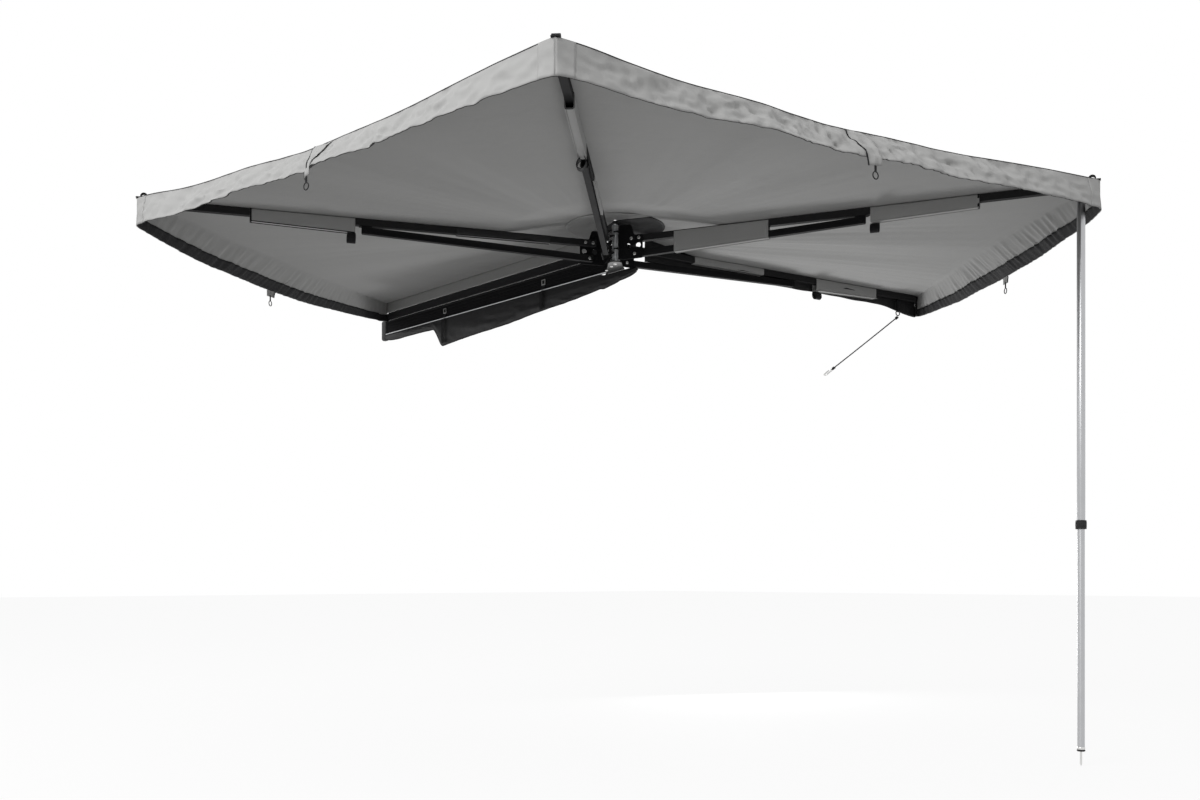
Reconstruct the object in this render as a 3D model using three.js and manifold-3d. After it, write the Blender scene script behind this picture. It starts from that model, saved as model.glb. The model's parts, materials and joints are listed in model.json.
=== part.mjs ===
// Vehicle side awning: a fan awning on a channel that bolts to the side of a vehicle rack.
// Four arms turn on one post at the rear end of the channel and spread a canopy of four gores.
// Millimetres, +Z up, +X towards the vehicle, +Y towards its front.
// The origin is under the foot of the middle mount bracket, on the bar that it is bolted to.
import * as THREE from "three";
import { mergeVertices } from "three/addons/utils/BufferGeometryUtils.js";
import Module from "manifold-3d";

const wasm = await Module();
wasm.setup();

// Clearances shared by all pieces
const seat_gap = 0.3; // between two pieces that rest on each other
const stow_gap = 1.7; // between neighbours when the awning is folded
const overrun = 1; // how far a cut runs past the piece that it cuts
const weld_distance = 0.001; // points closer than this are one point

// Fan of arms
const arm_reach = 1800; // from the post's axis to a canopy corner
const arm_angles = [66.3, 133.7, 205.6, 260.7]; // directions when open, in degrees from the channel
const cloth = 2; // thickness of the canopy with its coating and hems
const sleeve_cloth = 1.6;

// Rafters and struts, square and flat tubes
const rafter_width = 25;
const rafter_height = 25;
const rafter_wall = 2.5;
const rafter_start = 62; // from the post's axis
const rafter_setback = 30; // from the canopy corner to the rafter's outer end
const strut_width = 21;
const strut_height = 26;
const strut_wall = 2;
const strut_inner_reach = 90; // of the inner bolt
const strut_outer_reach = 985; // of the outer bolt
const strut_inner_drop = 62; // inner bolt below the rafter's middle
const strut_outer_drop = 30;
const strut_inner_tail = 14; // tube past the inner bolt
const strut_outer_tail = 12;
const strut_bolt_radius = 3;

// Clevis under each rafter, where its strut ends
const clevis_plate = 3;
const clevis_length = 48;
const cheek_length = 28;
const cheek_drop = 26; // below the clevis plate
const bolt_head_radius = 5;
const bolt_head_height = 2.3;

// Caps and cloth sleeves on the rafters
const tip_cap_length = 10;
const tip_plug_length = 14;
const inner_sleeve_length = 380;
const inner_sleeve_shares = [0.285, 0.605, 0.285, 0.69]; // for each arm, of its play between leaf and clevis
const inner_sleeve_wraps_strut = [false, false, true, false];
const outer_sleeve_length = 385;
const outer_sleeve_shares = [0.06, 0.25, 0.04, 0.46]; // of its play between clevis and guy loop
const outer_sleeve_drops = [42, 32]; // at its inner and outer end, below the rafter's middle

// Hinge: post, knuckles and leaves
const post_radius = 8.4;
const post_flange_radius = 20;
const knuckle_radius = 12.5;
const knuckle_pitch = 17;
const knuckle_count = 8;
const stack_drop = 76; // underside of the lowest knuckle below the rafter's middle
const tang_thick = 5;
const tang_depth = 20;
const tang_lap = 10; // tang along its leaf
const leaf_thick = 4;
const leaf_start = 24; // from the post's axis
const leaf_end = 124;
const leaf_neck = 74; // where the top of the tall part ends
const leaf_shoulder = 88; // where the tall part meets the rafter's top
const leaf_top_setback = 4; // top of the tall part below the top of the stack
const leaf_overhang = 6; // leaf's foot below the stack
const leaf_corner = 8;
const leaf_hole_radius = 11;
const leaf_hole_reaches = [62, 106];
const leaf_hole_drop = 30;
const post_cap_height = 8;
const post_cap_land = 3;
const post_cap_shoulder_share = 0.8; // of the cap's height

// Hinge base plate under the rear end of the channel
const base_thick = 6;
const base_nose_radius = 28;
const base_lap = 82; // how far it runs under the channel
const base_shoulder = 40; // from its wide end to where it narrows towards the post
const base_nose_turns = [0.72, 1.86]; // start and end of the nose's arc, in half turns

// Back channel
const channel_clearance = 11.2; // from the folded arms to the channel's face
const channel_start = 100; // from the post's axis
const channel_length = 1765;
const channel_drop = 84; // underside below the rafter's middle
const channel_rise = 26;
const channel_wall = 5;
const channel_depth = 21;
const lip_reach = 6; // in front of the face
const lip_height = 8;
const rib_pitch = 14.5;
const rib_count = 4;
const rib_first_rise = 16; // middle of the lowest groove above the channel's underside
const groove_width = 5;
const groove_depth = 1.5;
const rail_height = 24;
const slot_mouth = 8;
const slot_inside = 14;
const slot_lip = 3;
const slot_depth = 9;
const end_cap_thick = 4;
const end_cap_corner = 8;
const end_cap_overlap = 1.5;

// Mount brackets
const bracket_thick = 6;
const bracket_width = 60;
const bracket_foot = 90;
const bracket_leg = 80;
const bracket_spread = 700; // from the middle bracket to each outer one
const foot_drop = 72; // underside of the feet below the rafter's middle
const foot_hole_radius = 4.5;
const foot_hole_offset = 18;

// Keder strip, cover bag and its straps
const strip_thick = 4.3;
const strip_bottom_drop = 16;
const strip_top_rise = 27.5;
const strip_start = 200;
const strip_end_setback = 20; // from the channel's front end
const bag_start = 70;
const bag_overhang = 5; // past the channel's front end
const bag_rear_drop = 44; // at its rear end
const bag_drop = 130; // where it is deepest, at the front strap
const bag_drop_power = 0.7; // the smaller, the sooner it deepens behind its rear end
const bag_front_drop = 38; // of the rolled stretch ahead of the front strap
const bag_step_start = 1345; // from the post's axis
const bag_step_length = 90;
const bag_end_share = 0.55; // drop at the rounded ends, of the drop beside them
const bag_end_power = 14; // the larger, the shorter the rounded ends
const bag_half_thick = 14;
const bag_top_half_thick = 4;
const bag_offset = 2; // hangs this far in front of the channel's face
const strap_places = [565, 1330]; // from the post's axis
const strap_width = 20;
const strap_thick = 2;
const strap_bottom_drops = [172, 208]; // of the rear and the front one
const buckle_size = 25;
const buckle_bar = 4.5;
const buckle_thick = 3;
const buckle_top_drop = 35;

// Canopy
const canopy_hole_radius = 100; // the gores start here
const patch_radius = 200;
const patch_cloth = 1.6;
const patch_gap = 0.8; // patch below the gores
const cone_radius = 450; // the canopy rises to its apex inside this
const apex_clearance = 18.7; // canopy's apex above the post's cap
const sheet_gap = 0.6; // canopy above the sleeves
const seam_gap = 0.4; // each side of a rafter's middle
const edge_sags = [58, 32, 28, 26]; // of each gore's free edge at mid-span
const sag_power = 1.5; // the sag grows outwards with this power
const hollow_power = 1.3; // the larger, the flatter the cloth beside the arms
const edge_bow = 58; // inward curve of the free edges at mid-span
const valance_cloth = 2.4;
const valance_height = 98;
const valance_front_height = 94; // where it meets the channel
const valance_flare = 114; // how far its hem stands out at mid-span
const flare_power = 0.6; // the smaller, the nearer to the corners it stands out
const fold_height = 5;
const fold_count = 3;
const valance_wave = 5;
const valance_wave_count = 4;
const front_corner_setback = 7; // canopy corner behind the channel's front end
const front_edge_offset = 2; // canopy edge in front of the channel's face
const front_edge_rise = 78;
const band_gap = 0.8; // canopy above its channel band
const flap_inner_drop = 34; // foot of the end flap below the rafter's middle, at its start
const flap_drop = 50; // and further out
const flap_corner = 260; // length of its deep corner at the tip

// Pole on the third arm
const pole_setback = 60; // from the canopy corner
const pole_pivot_drop = 10;
const pole_radius = 14;
const pole_wall = 1.1;
const pole_side_gap = 0.5;
const pole_plate = 4;
const pole_plate_half = 18;
const pole_plate_rise = 10;
const pole_plate_drop = 26;
const pole_pin_radius = 4;
const pole_pin_head_radius = 7;
const pole_pin_head = 4;
const eye_radius = 13;
const pole_shoulder = 16; // from the pin to the full tube
const pole_solid_top = 14;
const pole_upper_drop = 1153; // end of the upper tube below the rafter's middle
const collar_height = 31;
const collar_radius = 19;
const lower_radius = 12.4;
const lower_wall = 1.2;
const lower_overlap = 123; // inside the upper tube when fully drawn out
const lower_drop = 1952;
const lower_bottom = 10;
const foot_radius = 14;
const foot_thick = 6.5;
const spike_radius = 3.75;
const spike_length = 52;
const spike_point = 9;

// Guy line on the fourth arm
const guy_setback = 135; // from the canopy corner
const loop_width = 14;
const loop_half_breadth = 6;
const loop_wall = 2;
const loop_length = 64.2;
const ring_radius = 12;
const ring_wire_radius = 2.5;
const rope_radius = 3;
const hook_length = 52;
const hook_width = 24;
const hook_wire = 5;
const hook_corner = 11;

// Rope route, from the ring to the hook, measured from the post's axis and the rafter's middle
const rope_route = [
  [1653.6, -206.7, -98.3],
  [1651.6, -181.3, -112.9],
  [1649.7, -156.8, -127.0],
  [1647.8, -132.2, -141.1],
  [1645.9, -107.7, -155.2],
  [1643.9, -83.1, -169.2],
  [1642.0, -58.6, -183.1],
  [1640.1, -34.0, -197.0],
  [1638.2, -9.4, -210.9],
  [1636.3, 15.1, -224.7],
  [1634.4, 39.7, -238.5],
  [1632.5, 64.2, -252.2],
  [1630.6, 88.8, -265.9],
  [1628.6, 113.3, -279.6],
  [1626.7, 137.9, -293.2],
  [1624.8, 162.5, -306.8],
];

// Roundness and mesh density
const round_steps = 16;
const corner_steps = 3;
const gore_columns = 16;
const gore_rows = 12;
const row_power = 1.15; // rows lie closer near the apex
const valance_rows = 2;
const flap_sections = 16;
const bag_sections = 36;
const bag_points = 12;
const rope_sides = 8;
const ring_sides = 8;

// Places worked out from the sizes above
const leaf_offset = rafter_width / 2 + seat_gap; // from a rafter's middle to its leaf
const arm_pitch = rafter_width + seat_gap + leaf_thick + stow_gap;
const pole_side = rafter_width / 2 + seat_gap + pole_plate + pole_side_gap + pole_radius;
const pole_bay = pole_side + pole_radius + pole_side_gap + pole_pin_head + stow_gap + rafter_width / 2;
const arm_sides = [2 * arm_pitch, arm_pitch, 0, -pole_bay]; // each rafter beside the post's axis
const rafter_end = arm_reach - rafter_setback;
const guy_reach = arm_reach - guy_setback;
const stack_bottom = -stack_drop;
const stack_top = stack_bottom + knuckle_pitch * knuckle_count;
const leaf_rise = stack_top - leaf_top_setback;
const leaf_drop = stack_drop + leaf_overhang;
const channel_face = arm_sides[0] + leaf_offset + leaf_thick + channel_clearance;
const channel_back = channel_face + channel_depth;
const channel_end = channel_start + channel_length;
const channel_bottom = -channel_drop;
const base_top = channel_bottom - seat_gap;
const foot_inner = channel_back + seat_gap + bracket_thick;
const awning_x = -(foot_inner + bracket_foot / 2);
const awning_y = -(channel_start + channel_end) / 2;
const sleeve_top = rafter_height / 2 + seat_gap + sleeve_cloth;
const strut_slope = (strut_inner_drop - strut_outer_drop) / (strut_outer_reach - strut_inner_reach);
const sheet_level = sleeve_top + sheet_gap; // underside of the canopy on the rafters
const apex_rise = stack_top + seat_gap + post_cap_height + apex_clearance - sheet_level;

// Finishes
const finish = (color, roughness, metalness) =>
  new THREE.MeshStandardMaterial({ color, roughness, metalness });
const black_metal = finish("#1b1b1d", 0.45, 0.8);
const silver_metal = finish("#a9abad", 0.35, 0.95);
const black_plastic = finish("#161617", 0.6, 0);
const grey_canvas = finish("#5b5a59", 0.9, 0);
const sleeve_canvas = finish("#6f6e6d", 0.9, 0);
const black_coated_cloth = finish("#141415", 0.55, 0);
const black_webbing = finish("#1a1a1a", 0.85, 0);
const black_rope = finish("#151515", 0.8, 0);

const awning = new THREE.Group();
awning.position.set(awning_x, awning_y, foot_drop);

function place(group, name, geometry, material) {
  const mesh = new THREE.Mesh(geometry, material);
  mesh.name = name;
  group.add(mesh);
  return mesh;
}

// A closed geometry as a solid that can be joined and cut
function solid(geometry) {
  const bare = geometry.clone();
  bare.deleteAttribute("normal");
  bare.deleteAttribute("uv");
  const merged = mergeVertices(bare, weld_distance);
  return new wasm.Manifold(
    new wasm.Mesh({
      numProp: 3,
      vertProperties: Float32Array.from(merged.attributes.position.array),
      triVerts: Uint32Array.from(merged.index.array),
    }),
  );
}

function geometryOf(body) {
  const mesh = body.getMesh();
  const geometry = new THREE.BufferGeometry();
  const positions = new Float32Array((mesh.vertProperties.length / mesh.numProp) * 3);
  for (let i = 0; i < positions.length / 3; i += 1) {
    for (let axis = 0; axis < 3; axis += 1) {
      positions[3 * i + axis] = mesh.vertProperties[mesh.numProp * i + axis];
    }
  }
  geometry.setAttribute("position", new THREE.BufferAttribute(positions, 3));
  geometry.setIndex(Array.from(mesh.triVerts));
  geometry.computeVertexNormals();
  return geometry;
}

const join = (...bodies) => bodies.reduce((whole, body) => whole.add(body));

function block(x, y, z) {
  const box = new THREE.BoxGeometry(x[1] - x[0], y[1] - y[0], z[1] - z[0]);
  return solid(box.translate((x[0] + x[1]) / 2, (y[0] + y[1]) / 2, (z[0] + z[1]) / 2));
}

// A round bar along Z
function bar(radius, z, centre = [0, 0]) {
  const cylinder = new THREE.CylinderGeometry(radius, radius, z[1] - z[0], round_steps);
  cylinder.rotateX(Math.PI / 2);
  return solid(cylinder.translate(centre[0], centre[1], (z[0] + z[1]) / 2));
}

// A round bar along X, at a reach and a height
function crossBar(radius, x, centre) {
  const cylinder = new THREE.CylinderGeometry(radius, radius, x[1] - x[0], round_steps);
  cylinder.rotateZ(Math.PI / 2);
  return solid(cylinder.translate((x[0] + x[1]) / 2, centre[0], centre[1]));
}

// A square tube along Y, open at both ends, centred on X and Z
function boxTube(width, height, wall, y) {
  const skin = block([-width / 2, width / 2], y, [-height / 2, height / 2]);
  const bore = block(
    [wall - width / 2, width / 2 - wall],
    [y[0] - overrun, y[1] + overrun],
    [wall - height / 2, height / 2 - wall],
  );
  return skin.subtract(bore);
}

// A closed outline with rounded corners; a radius of zero keeps a corner sharp
function outline(points, radius) {
  const shape = new THREE.Shape();
  points.forEach((point, i) => {
    const here = new THREE.Vector2(...point);
    const back = new THREE.Vector2(...points[(i + points.length - 1) % points.length]).sub(here);
    const on = new THREE.Vector2(...points[(i + 1) % points.length]).sub(here);
    const reach = Math.min(radius, back.length() / 2, on.length() / 2);
    const from = here.clone().addScaledVector(back.normalize(), reach);
    const to = here.clone().addScaledVector(on.normalize(), reach);
    if (i === 0) shape.moveTo(from.x, from.y);
    else shape.lineTo(from.x, from.y);
    if (radius > 0) shape.quadraticCurveTo(here.x, here.y, to.x, to.y);
  });
  shape.closePath();
  return shape;
}

function hole(shape, x, y, radius) {
  shape.holes.push(new THREE.Path().absarc(x, y, radius, 0, 2 * Math.PI, true));
}

const axis_x = new THREE.Vector3(1, 0, 0);
const axis_y = new THREE.Vector3(0, 1, 0);
const axis_z = new THREE.Vector3(0, 0, 1);

// A shape drawn in X and Y, thick along Z
function plateAlongZ(shape, z) {
  const options = { depth: z[1] - z[0], bevelEnabled: false, curveSegments: corner_steps * 2 };
  return new THREE.ExtrudeGeometry(shape, options).translate(0, 0, z[0]);
}

// A shape drawn in Y and Z, thick along X
function plateAlongX(shape, x) {
  const turn = new THREE.Matrix4().makeBasis(axis_y, axis_z, axis_x);
  return plateAlongZ(shape, x).applyMatrix4(turn);
}

// A shape drawn in X and Z, long along Y
function plateAlongY(shape, y) {
  const turn = new THREE.Matrix4().makeBasis(axis_x, axis_z, axis_y.clone().negate());
  return plateAlongZ(shape, [-y[1], -y[0]]).applyMatrix4(turn);
}

// A closed skin over rings of points; each ring has as many points, and the ends are capped
function loft(rings) {
  const count = rings[0].length;
  const positions = rings.flat(2);
  const faces = [];
  for (let i = 0; i < rings.length - 1; i += 1) {
    for (let j = 0; j < count; j += 1) {
      const a = i * count + j;
      const b = i * count + ((j + 1) % count);
      faces.push(a, b + count, b, a, a + count, b + count);
    }
  }
  const last = (rings.length - 1) * count;
  for (let j = 1; j < count - 1; j += 1) {
    faces.push(0, j, j + 1, last, last + j + 1, last + j);
  }
  const geometry = new THREE.BufferGeometry();
  geometry.setAttribute("position", new THREE.BufferAttribute(new Float32Array(positions), 3));
  geometry.setIndex(faces);
  geometry.computeVertexNormals();
  return geometry;
}

// Back channel: ribbed wall, bright lower lip and two bolt rails on its back
function channelOutline() {
  const face = channel_face;
  const wall_back = channel_face + channel_wall;
  const rail = (middle) => [
    [wall_back, middle - rail_height / 2],
    [channel_back, middle - rail_height / 2],
    [channel_back, middle - slot_mouth / 2],
    [channel_back - slot_lip, middle - slot_mouth / 2],
    [channel_back - slot_lip, middle - slot_inside / 2],
    [channel_back - slot_depth, middle - slot_inside / 2],
    [channel_back - slot_depth, middle + slot_inside / 2],
    [channel_back - slot_lip, middle + slot_inside / 2],
    [channel_back - slot_lip, middle + slot_mouth / 2],
    [channel_back, middle + slot_mouth / 2],
    [channel_back, middle + rail_height / 2],
    [wall_back, middle + rail_height / 2],
  ];
  const low_rail = channel_bottom + rail_height;
  const high_rail = channel_rise - rail_height;
  const grooves = [];
  for (let i = rib_count - 1; i >= 0; i -= 1) {
    const middle = channel_bottom + rib_first_rise + i * rib_pitch;
    grooves.push(
      [face, middle + groove_width / 2],
      [face + groove_depth, middle + groove_width / 4],
      [face + groove_depth, middle - groove_width / 4],
      [face, middle - groove_width / 2],
    );
  }
  return outline(
    [
      [wall_back, channel_bottom],
      ...rail(low_rail),
      ...rail(high_rail),
      [wall_back, channel_rise],
      [face, channel_rise],
      ...grooves,
      [face, channel_bottom + lip_height],
      [face - lip_reach / 2, channel_bottom + lip_height],
      [face - lip_reach, channel_bottom + lip_height / 2],
      [face - lip_reach / 2, channel_bottom],
    ],
    0,
  );
}

function endCapOutline() {
  const x = [channel_face - lip_reach - end_cap_overlap, channel_back];
  const z = [channel_bottom, channel_rise + end_cap_overlap];
  return outline([[x[0], z[0]], [x[1], z[0]], [x[1], z[1]], [x[0], z[1]]], end_cap_corner);
}

function buildChannel() {
  place(awning, "back_channel", plateAlongY(channelOutline(), [channel_start, channel_end]), black_metal);
  const rear = [channel_start - seat_gap - end_cap_thick, channel_start - seat_gap];
  const front = [channel_end + seat_gap, channel_end + seat_gap + end_cap_thick];
  place(awning, "channel_cap_rear", plateAlongY(endCapOutline(), rear), black_plastic);
  place(awning, "channel_cap_front", plateAlongY(endCapOutline(), front), black_plastic);
}

// Mount bracket: an L whose foot lies on a roof bar
function bracketSolid(middle) {
  const leg_x = channel_back + seat_gap;
  const foot_end = leg_x + bracket_thick + bracket_foot;
  const points = [
    [leg_x, -foot_drop],
    [foot_end, -foot_drop],
    [foot_end, bracket_thick - foot_drop],
    [leg_x + bracket_thick, bracket_thick - foot_drop],
    [leg_x + bracket_thick, bracket_leg - foot_drop],
    [leg_x, bracket_leg - foot_drop],
  ];
  const y = [middle - bracket_width / 2, middle + bracket_width / 2];
  let body = solid(plateAlongY(outline(points, 0), y));
  const foot_z = [-foot_drop - overrun, bracket_thick - foot_drop + overrun];
  for (const side of [-1, 1]) {
    const offset = side * foot_hole_offset;
    const centre = [foot_inner + bracket_foot / 2 + offset, middle + offset];
    body = body.subtract(bar(foot_hole_radius, foot_z, centre));
  }
  return body;
}

function buildBrackets() {
  const middle = (channel_start + channel_end) / 2;
  const places = { rear: middle - bracket_spread, middle, front: middle + bracket_spread };
  for (const [word, y] of Object.entries(places)) {
    place(awning, `mount_bracket_${word}`, geometryOf(bracketSolid(y)), black_metal);
  }
}

// Hinge base: a plate from under the channel's rear end to a round nose under the post
function buildHingeBase() {
  const end = channel_start + base_lap;
  const shape = new THREE.Shape();
  shape.moveTo(channel_face - lip_reach, end);
  shape.absarc(0, 0, base_nose_radius, Math.PI * base_nose_turns[0], Math.PI * base_nose_turns[1], false);
  shape.lineTo(channel_back, end - base_lap - base_shoulder);
  shape.lineTo(channel_back, end);
  shape.closePath();
  const plate = plateAlongZ(shape, [base_top - base_thick, base_top]);
  place(awning, "hinge_base", plate, silver_metal);
  const post = join(
    bar(post_radius, [base_top, stack_top]),
    bar(post_flange_radius, [base_top, stack_bottom - seat_gap]),
  );
  place(awning, "hinge_post", geometryOf(post), silver_metal);
  const cap_bottom = stack_top + seat_gap;
  const cap_profile = [
    new THREE.Vector2(0, cap_bottom),
    new THREE.Vector2(knuckle_radius, cap_bottom),
    new THREE.Vector2(knuckle_radius, cap_bottom + post_cap_land),
    new THREE.Vector2(post_radius, cap_bottom + post_cap_height * post_cap_shoulder_share),
    new THREE.Vector2(0, cap_bottom + post_cap_height),
  ];
  const cap = new THREE.LatheGeometry(cap_profile, round_steps).rotateX(Math.PI / 2);
  place(awning, "post_cap", cap, silver_metal);
}

// Hinge leaf: an upright plate with two tangs that end in knuckles on the post
function leafSolid(index) {
  const side = arm_sides[index];
  const leaf = [side + leaf_offset, side + leaf_offset + leaf_thick];
  const shape = outline(
    [
      [leaf_start, -leaf_drop],
      [leaf_end, -leaf_drop],
      [leaf_end, rafter_height / 2],
      [leaf_shoulder, rafter_height / 2],
      [leaf_neck, leaf_rise],
      [leaf_start, leaf_rise],
    ],
    leaf_corner,
  );
  for (const reach of leaf_hole_reaches) {
    hole(shape, reach, -leaf_hole_drop, leaf_hole_radius);
  }
  const pad = block(
    [side + strut_width / 2 + seat_gap, leaf[0] + overrun],
    [strut_inner_reach - strut_inner_tail, leaf_end - leaf_corner / 2],
    [-strut_inner_drop - strut_height / 2, strut_height / 2 - strut_inner_drop],
  );
  let body = join(solid(plateAlongX(shape, leaf)), pad);
  const far = side < 0 ? leaf[0] : leaf[1];
  const near = side < 0 ? leaf[1] : leaf[0];
  const tang = outline(
    [
      [0, 0],
      [far, 0],
      [far, leaf_start + tang_lap],
      [near, leaf_start + tang_lap],
      [near, tang_depth],
      [0, tang_depth],
    ],
    0,
  );
  for (const slot of [index, index + knuckle_count / 2]) {
    const bottom = stack_bottom + slot * knuckle_pitch;
    const middle = bottom + knuckle_pitch / 2;
    const tang_z = [middle - tang_thick / 2, middle + tang_thick / 2];
    const knuckle = bar(knuckle_radius, [bottom, bottom + knuckle_pitch - seat_gap]);
    body = join(body, solid(plateAlongZ(tang, tang_z)), knuckle);
  }
  const bore = [stack_bottom - overrun, stack_top + overrun];
  return body.subtract(bar(post_radius + seat_gap, bore));
}

function strutSolid() {
  const run = strut_outer_reach - strut_inner_reach;
  const length = run * Math.hypot(1, strut_slope);
  const tube = boxTube(strut_width, strut_height, strut_wall, [-strut_inner_tail, length + strut_outer_tail]);
  const across = [-strut_width / 2 - overrun, strut_width / 2 + overrun];
  return tube.subtract(crossBar(strut_bolt_radius + seat_gap, across, [length, 0]));
}

function clevisSolid() {
  const top = -rafter_height / 2 - seat_gap;
  const half = rafter_width / 2;
  const inside = strut_width / 2 + seat_gap;
  const about = (length) => [strut_outer_reach - length / 2, strut_outer_reach + length / 2];
  const cheek_z = [top - cheek_drop, top];
  const bolt = [strut_outer_reach, -strut_outer_drop];
  const head = half + bolt_head_height;
  return join(
    block([-half, half], about(clevis_length), [top - clevis_plate, top]),
    block([-half, -inside], about(cheek_length), cheek_z),
    block([inside, half], about(cheek_length), cheek_z),
    crossBar(strut_bolt_radius, [-head, head], bolt),
    crossBar(bolt_head_radius, [-head, -inside], bolt),
    crossBar(bolt_head_radius, [inside, head], bolt),
  );
}

// Cloth sleeve around a rafter, as low as the drops at its two ends
function sleeveSolid(start, length, drops) {
  const end = start + length;
  const half = rafter_width / 2 + seat_gap;
  const skin = outline([[start, -drops[0]], [end, -drops[1]], [end, sleeve_top], [start, sleeve_top]], 0);
  const bore = outline(
    [
      [start - overrun, sleeve_cloth - drops[0]],
      [end + overrun, sleeve_cloth - drops[1]],
      [end + overrun, sleeve_top - sleeve_cloth],
      [start - overrun, sleeve_top - sleeve_cloth],
    ],
    0,
  );
  return solid(plateAlongX(skin, [-half - sleeve_cloth, half + sleeve_cloth])).subtract(
    solid(plateAlongX(bore, [-half, half])),
  );
}

// Drop of an inner sleeve: under the strut, or close to the rafter
function innerSleeveDrop(index, reach) {
  if (!inner_sleeve_wraps_strut[index]) return sleeve_top;
  const strut_drop = strut_inner_drop - (reach - strut_inner_reach) * strut_slope;
  return strut_drop + (strut_height / 2) * Math.hypot(1, strut_slope) + seat_gap + sleeve_cloth;
}

function tipCapSolid() {
  const half_x = rafter_width / 2;
  const half_z = rafter_height / 2;
  const plug = rafter_wall + seat_gap;
  const start = rafter_end + seat_gap;
  return join(
    block([-half_x, half_x], [start, start + tip_cap_length], [-half_z, half_z]),
    block(
      [plug - half_x, half_x - plug],
      [start - tip_plug_length, start + overrun],
      [plug - half_z, half_z - plug],
    ),
  );
}

// One arm group for each arm: its Y axis runs out along the arm and its X axis to the clockwise side
const arms = arm_angles.map((angle) => {
  const arm = new THREE.Group();
  arm.rotation.z = THREE.MathUtils.degToRad(angle);
  awning.add(arm);
  return arm;
});

function buildArm(arm, index) {
  const number = index + 1;
  const line = new THREE.Group();
  line.position.x = arm_sides[index];
  arm.add(line);
  place(arm, `hinge_leaf_${number}`, geometryOf(leafSolid(index)), black_metal);
  const rafter = boxTube(rafter_width, rafter_height, rafter_wall, [rafter_start, rafter_end]);
  place(line, `rafter_${number}`, geometryOf(rafter), black_metal);
  place(line, `tip_cap_${number}`, geometryOf(tipCapSolid()), black_plastic);
  place(line, `strut_clevis_${number}`, geometryOf(clevisSolid()), black_metal);
  const strut = place(line, `strut_${number}`, geometryOf(strutSolid()), black_metal);
  strut.position.set(0, strut_inner_reach, -strut_inner_drop);
  strut.rotation.x = Math.atan(strut_slope);
  const clevis_start = strut_outer_reach - clevis_length / 2;
  const clevis_end = strut_outer_reach + clevis_length / 2;
  const inner_play = clevis_start - leaf_end - inner_sleeve_length;
  const outer_play = guy_reach - loop_width / 2 - clevis_end - outer_sleeve_length;
  const inner_start = leaf_end + inner_sleeve_shares[index] * inner_play;
  const outer_start = clevis_end + outer_sleeve_shares[index] * outer_play;
  const inner_ends = [inner_start, inner_start + inner_sleeve_length];
  const inner_drops = inner_ends.map((reach) => innerSleeveDrop(index, reach));
  const inner = sleeveSolid(inner_start, inner_sleeve_length, inner_drops);
  const outer = sleeveSolid(outer_start, outer_sleeve_length, outer_sleeve_drops);
  place(line, `sleeve_inner_${number}`, geometryOf(inner), sleeve_canvas);
  place(line, `sleeve_outer_${number}`, geometryOf(outer), sleeve_canvas);
}

// Canopy gores. An edge gives the point at a share of the way from the hole to the outer corner
function armEdge(index, shift) {
  const angle = THREE.MathUtils.degToRad(arm_angles[index]);
  const side = arm_sides[index] + shift;
  const start = Math.sqrt(canopy_hole_radius ** 2 - side ** 2);
  const end = Math.sqrt(arm_reach ** 2 - side ** 2);
  return (share) => {
    const reach = start + share * (end - start);
    const x = side * Math.cos(angle) - reach * Math.sin(angle);
    const y = side * Math.sin(angle) + reach * Math.cos(angle);
    return { x, y, level: sheet_level };
  };
}

function channelEdge() {
  const x = channel_face - front_edge_offset;
  const end = channel_end - front_corner_setback;
  return (share) => {
    const y = channel_start + share * (end - channel_start);
    const climb = THREE.MathUtils.smoothstep(y, channel_start, cone_radius);
    return { x, y, level: sheet_level + climb * (front_edge_rise - sheet_level) };
  };
}

const gores = arm_angles.map((angle, k) => ({
  first: k === 0 ? channelEdge() : armEdge(k - 1, -seam_gap),
  second: armEdge(k, seam_gap),
  heights: [k === 0 ? valance_front_height : valance_height, valance_height],
  sag: edge_sags[k],
}));

const polar = (point) => ({ radius: Math.hypot(point.x, point.y), turn: Math.atan2(-point.x, point.y) });
const coneRise = (radius) => apex_rise * Math.max(0, 1 - radius / cone_radius);

// The canopy's underside at a share across the gore and a share outwards
function canopyPoint(gore, across, out) {
  const a = gore.first(out);
  const b = gore.second(out);
  const from = polar(a);
  const to = polar(b);
  if (to.turn < from.turn) to.turn += 2 * Math.PI;
  const turn = from.turn + across * (to.turn - from.turn);
  const arc = from.radius + across * (to.radius - from.radius);
  const chord =
    (from.radius * to.radius * Math.sin(to.turn - from.turn)) /
    (from.radius * Math.sin(turn - from.turn) + to.radius * Math.sin(to.turn - turn));
  const hollow = Math.sin(Math.PI * across) ** hollow_power;
  const radius = arc + out * (chord - arc) - edge_bow * hollow * out ** 2;
  const level = a.level + across * (b.level - a.level);
  const free = THREE.MathUtils.clamp((radius - patch_radius) / (arm_reach - patch_radius), 0, 1);
  const sag = gore.sag * hollow * free ** sag_power;
  const fold = fold_height * hollow * Math.sin(2 * Math.PI * fold_count * across) * Math.sin(Math.PI * free);
  const height = level + coneRise(radius) - sag - fold;
  return new THREE.Vector3(-radius * Math.sin(turn), radius * Math.cos(turn), height);
}

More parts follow.
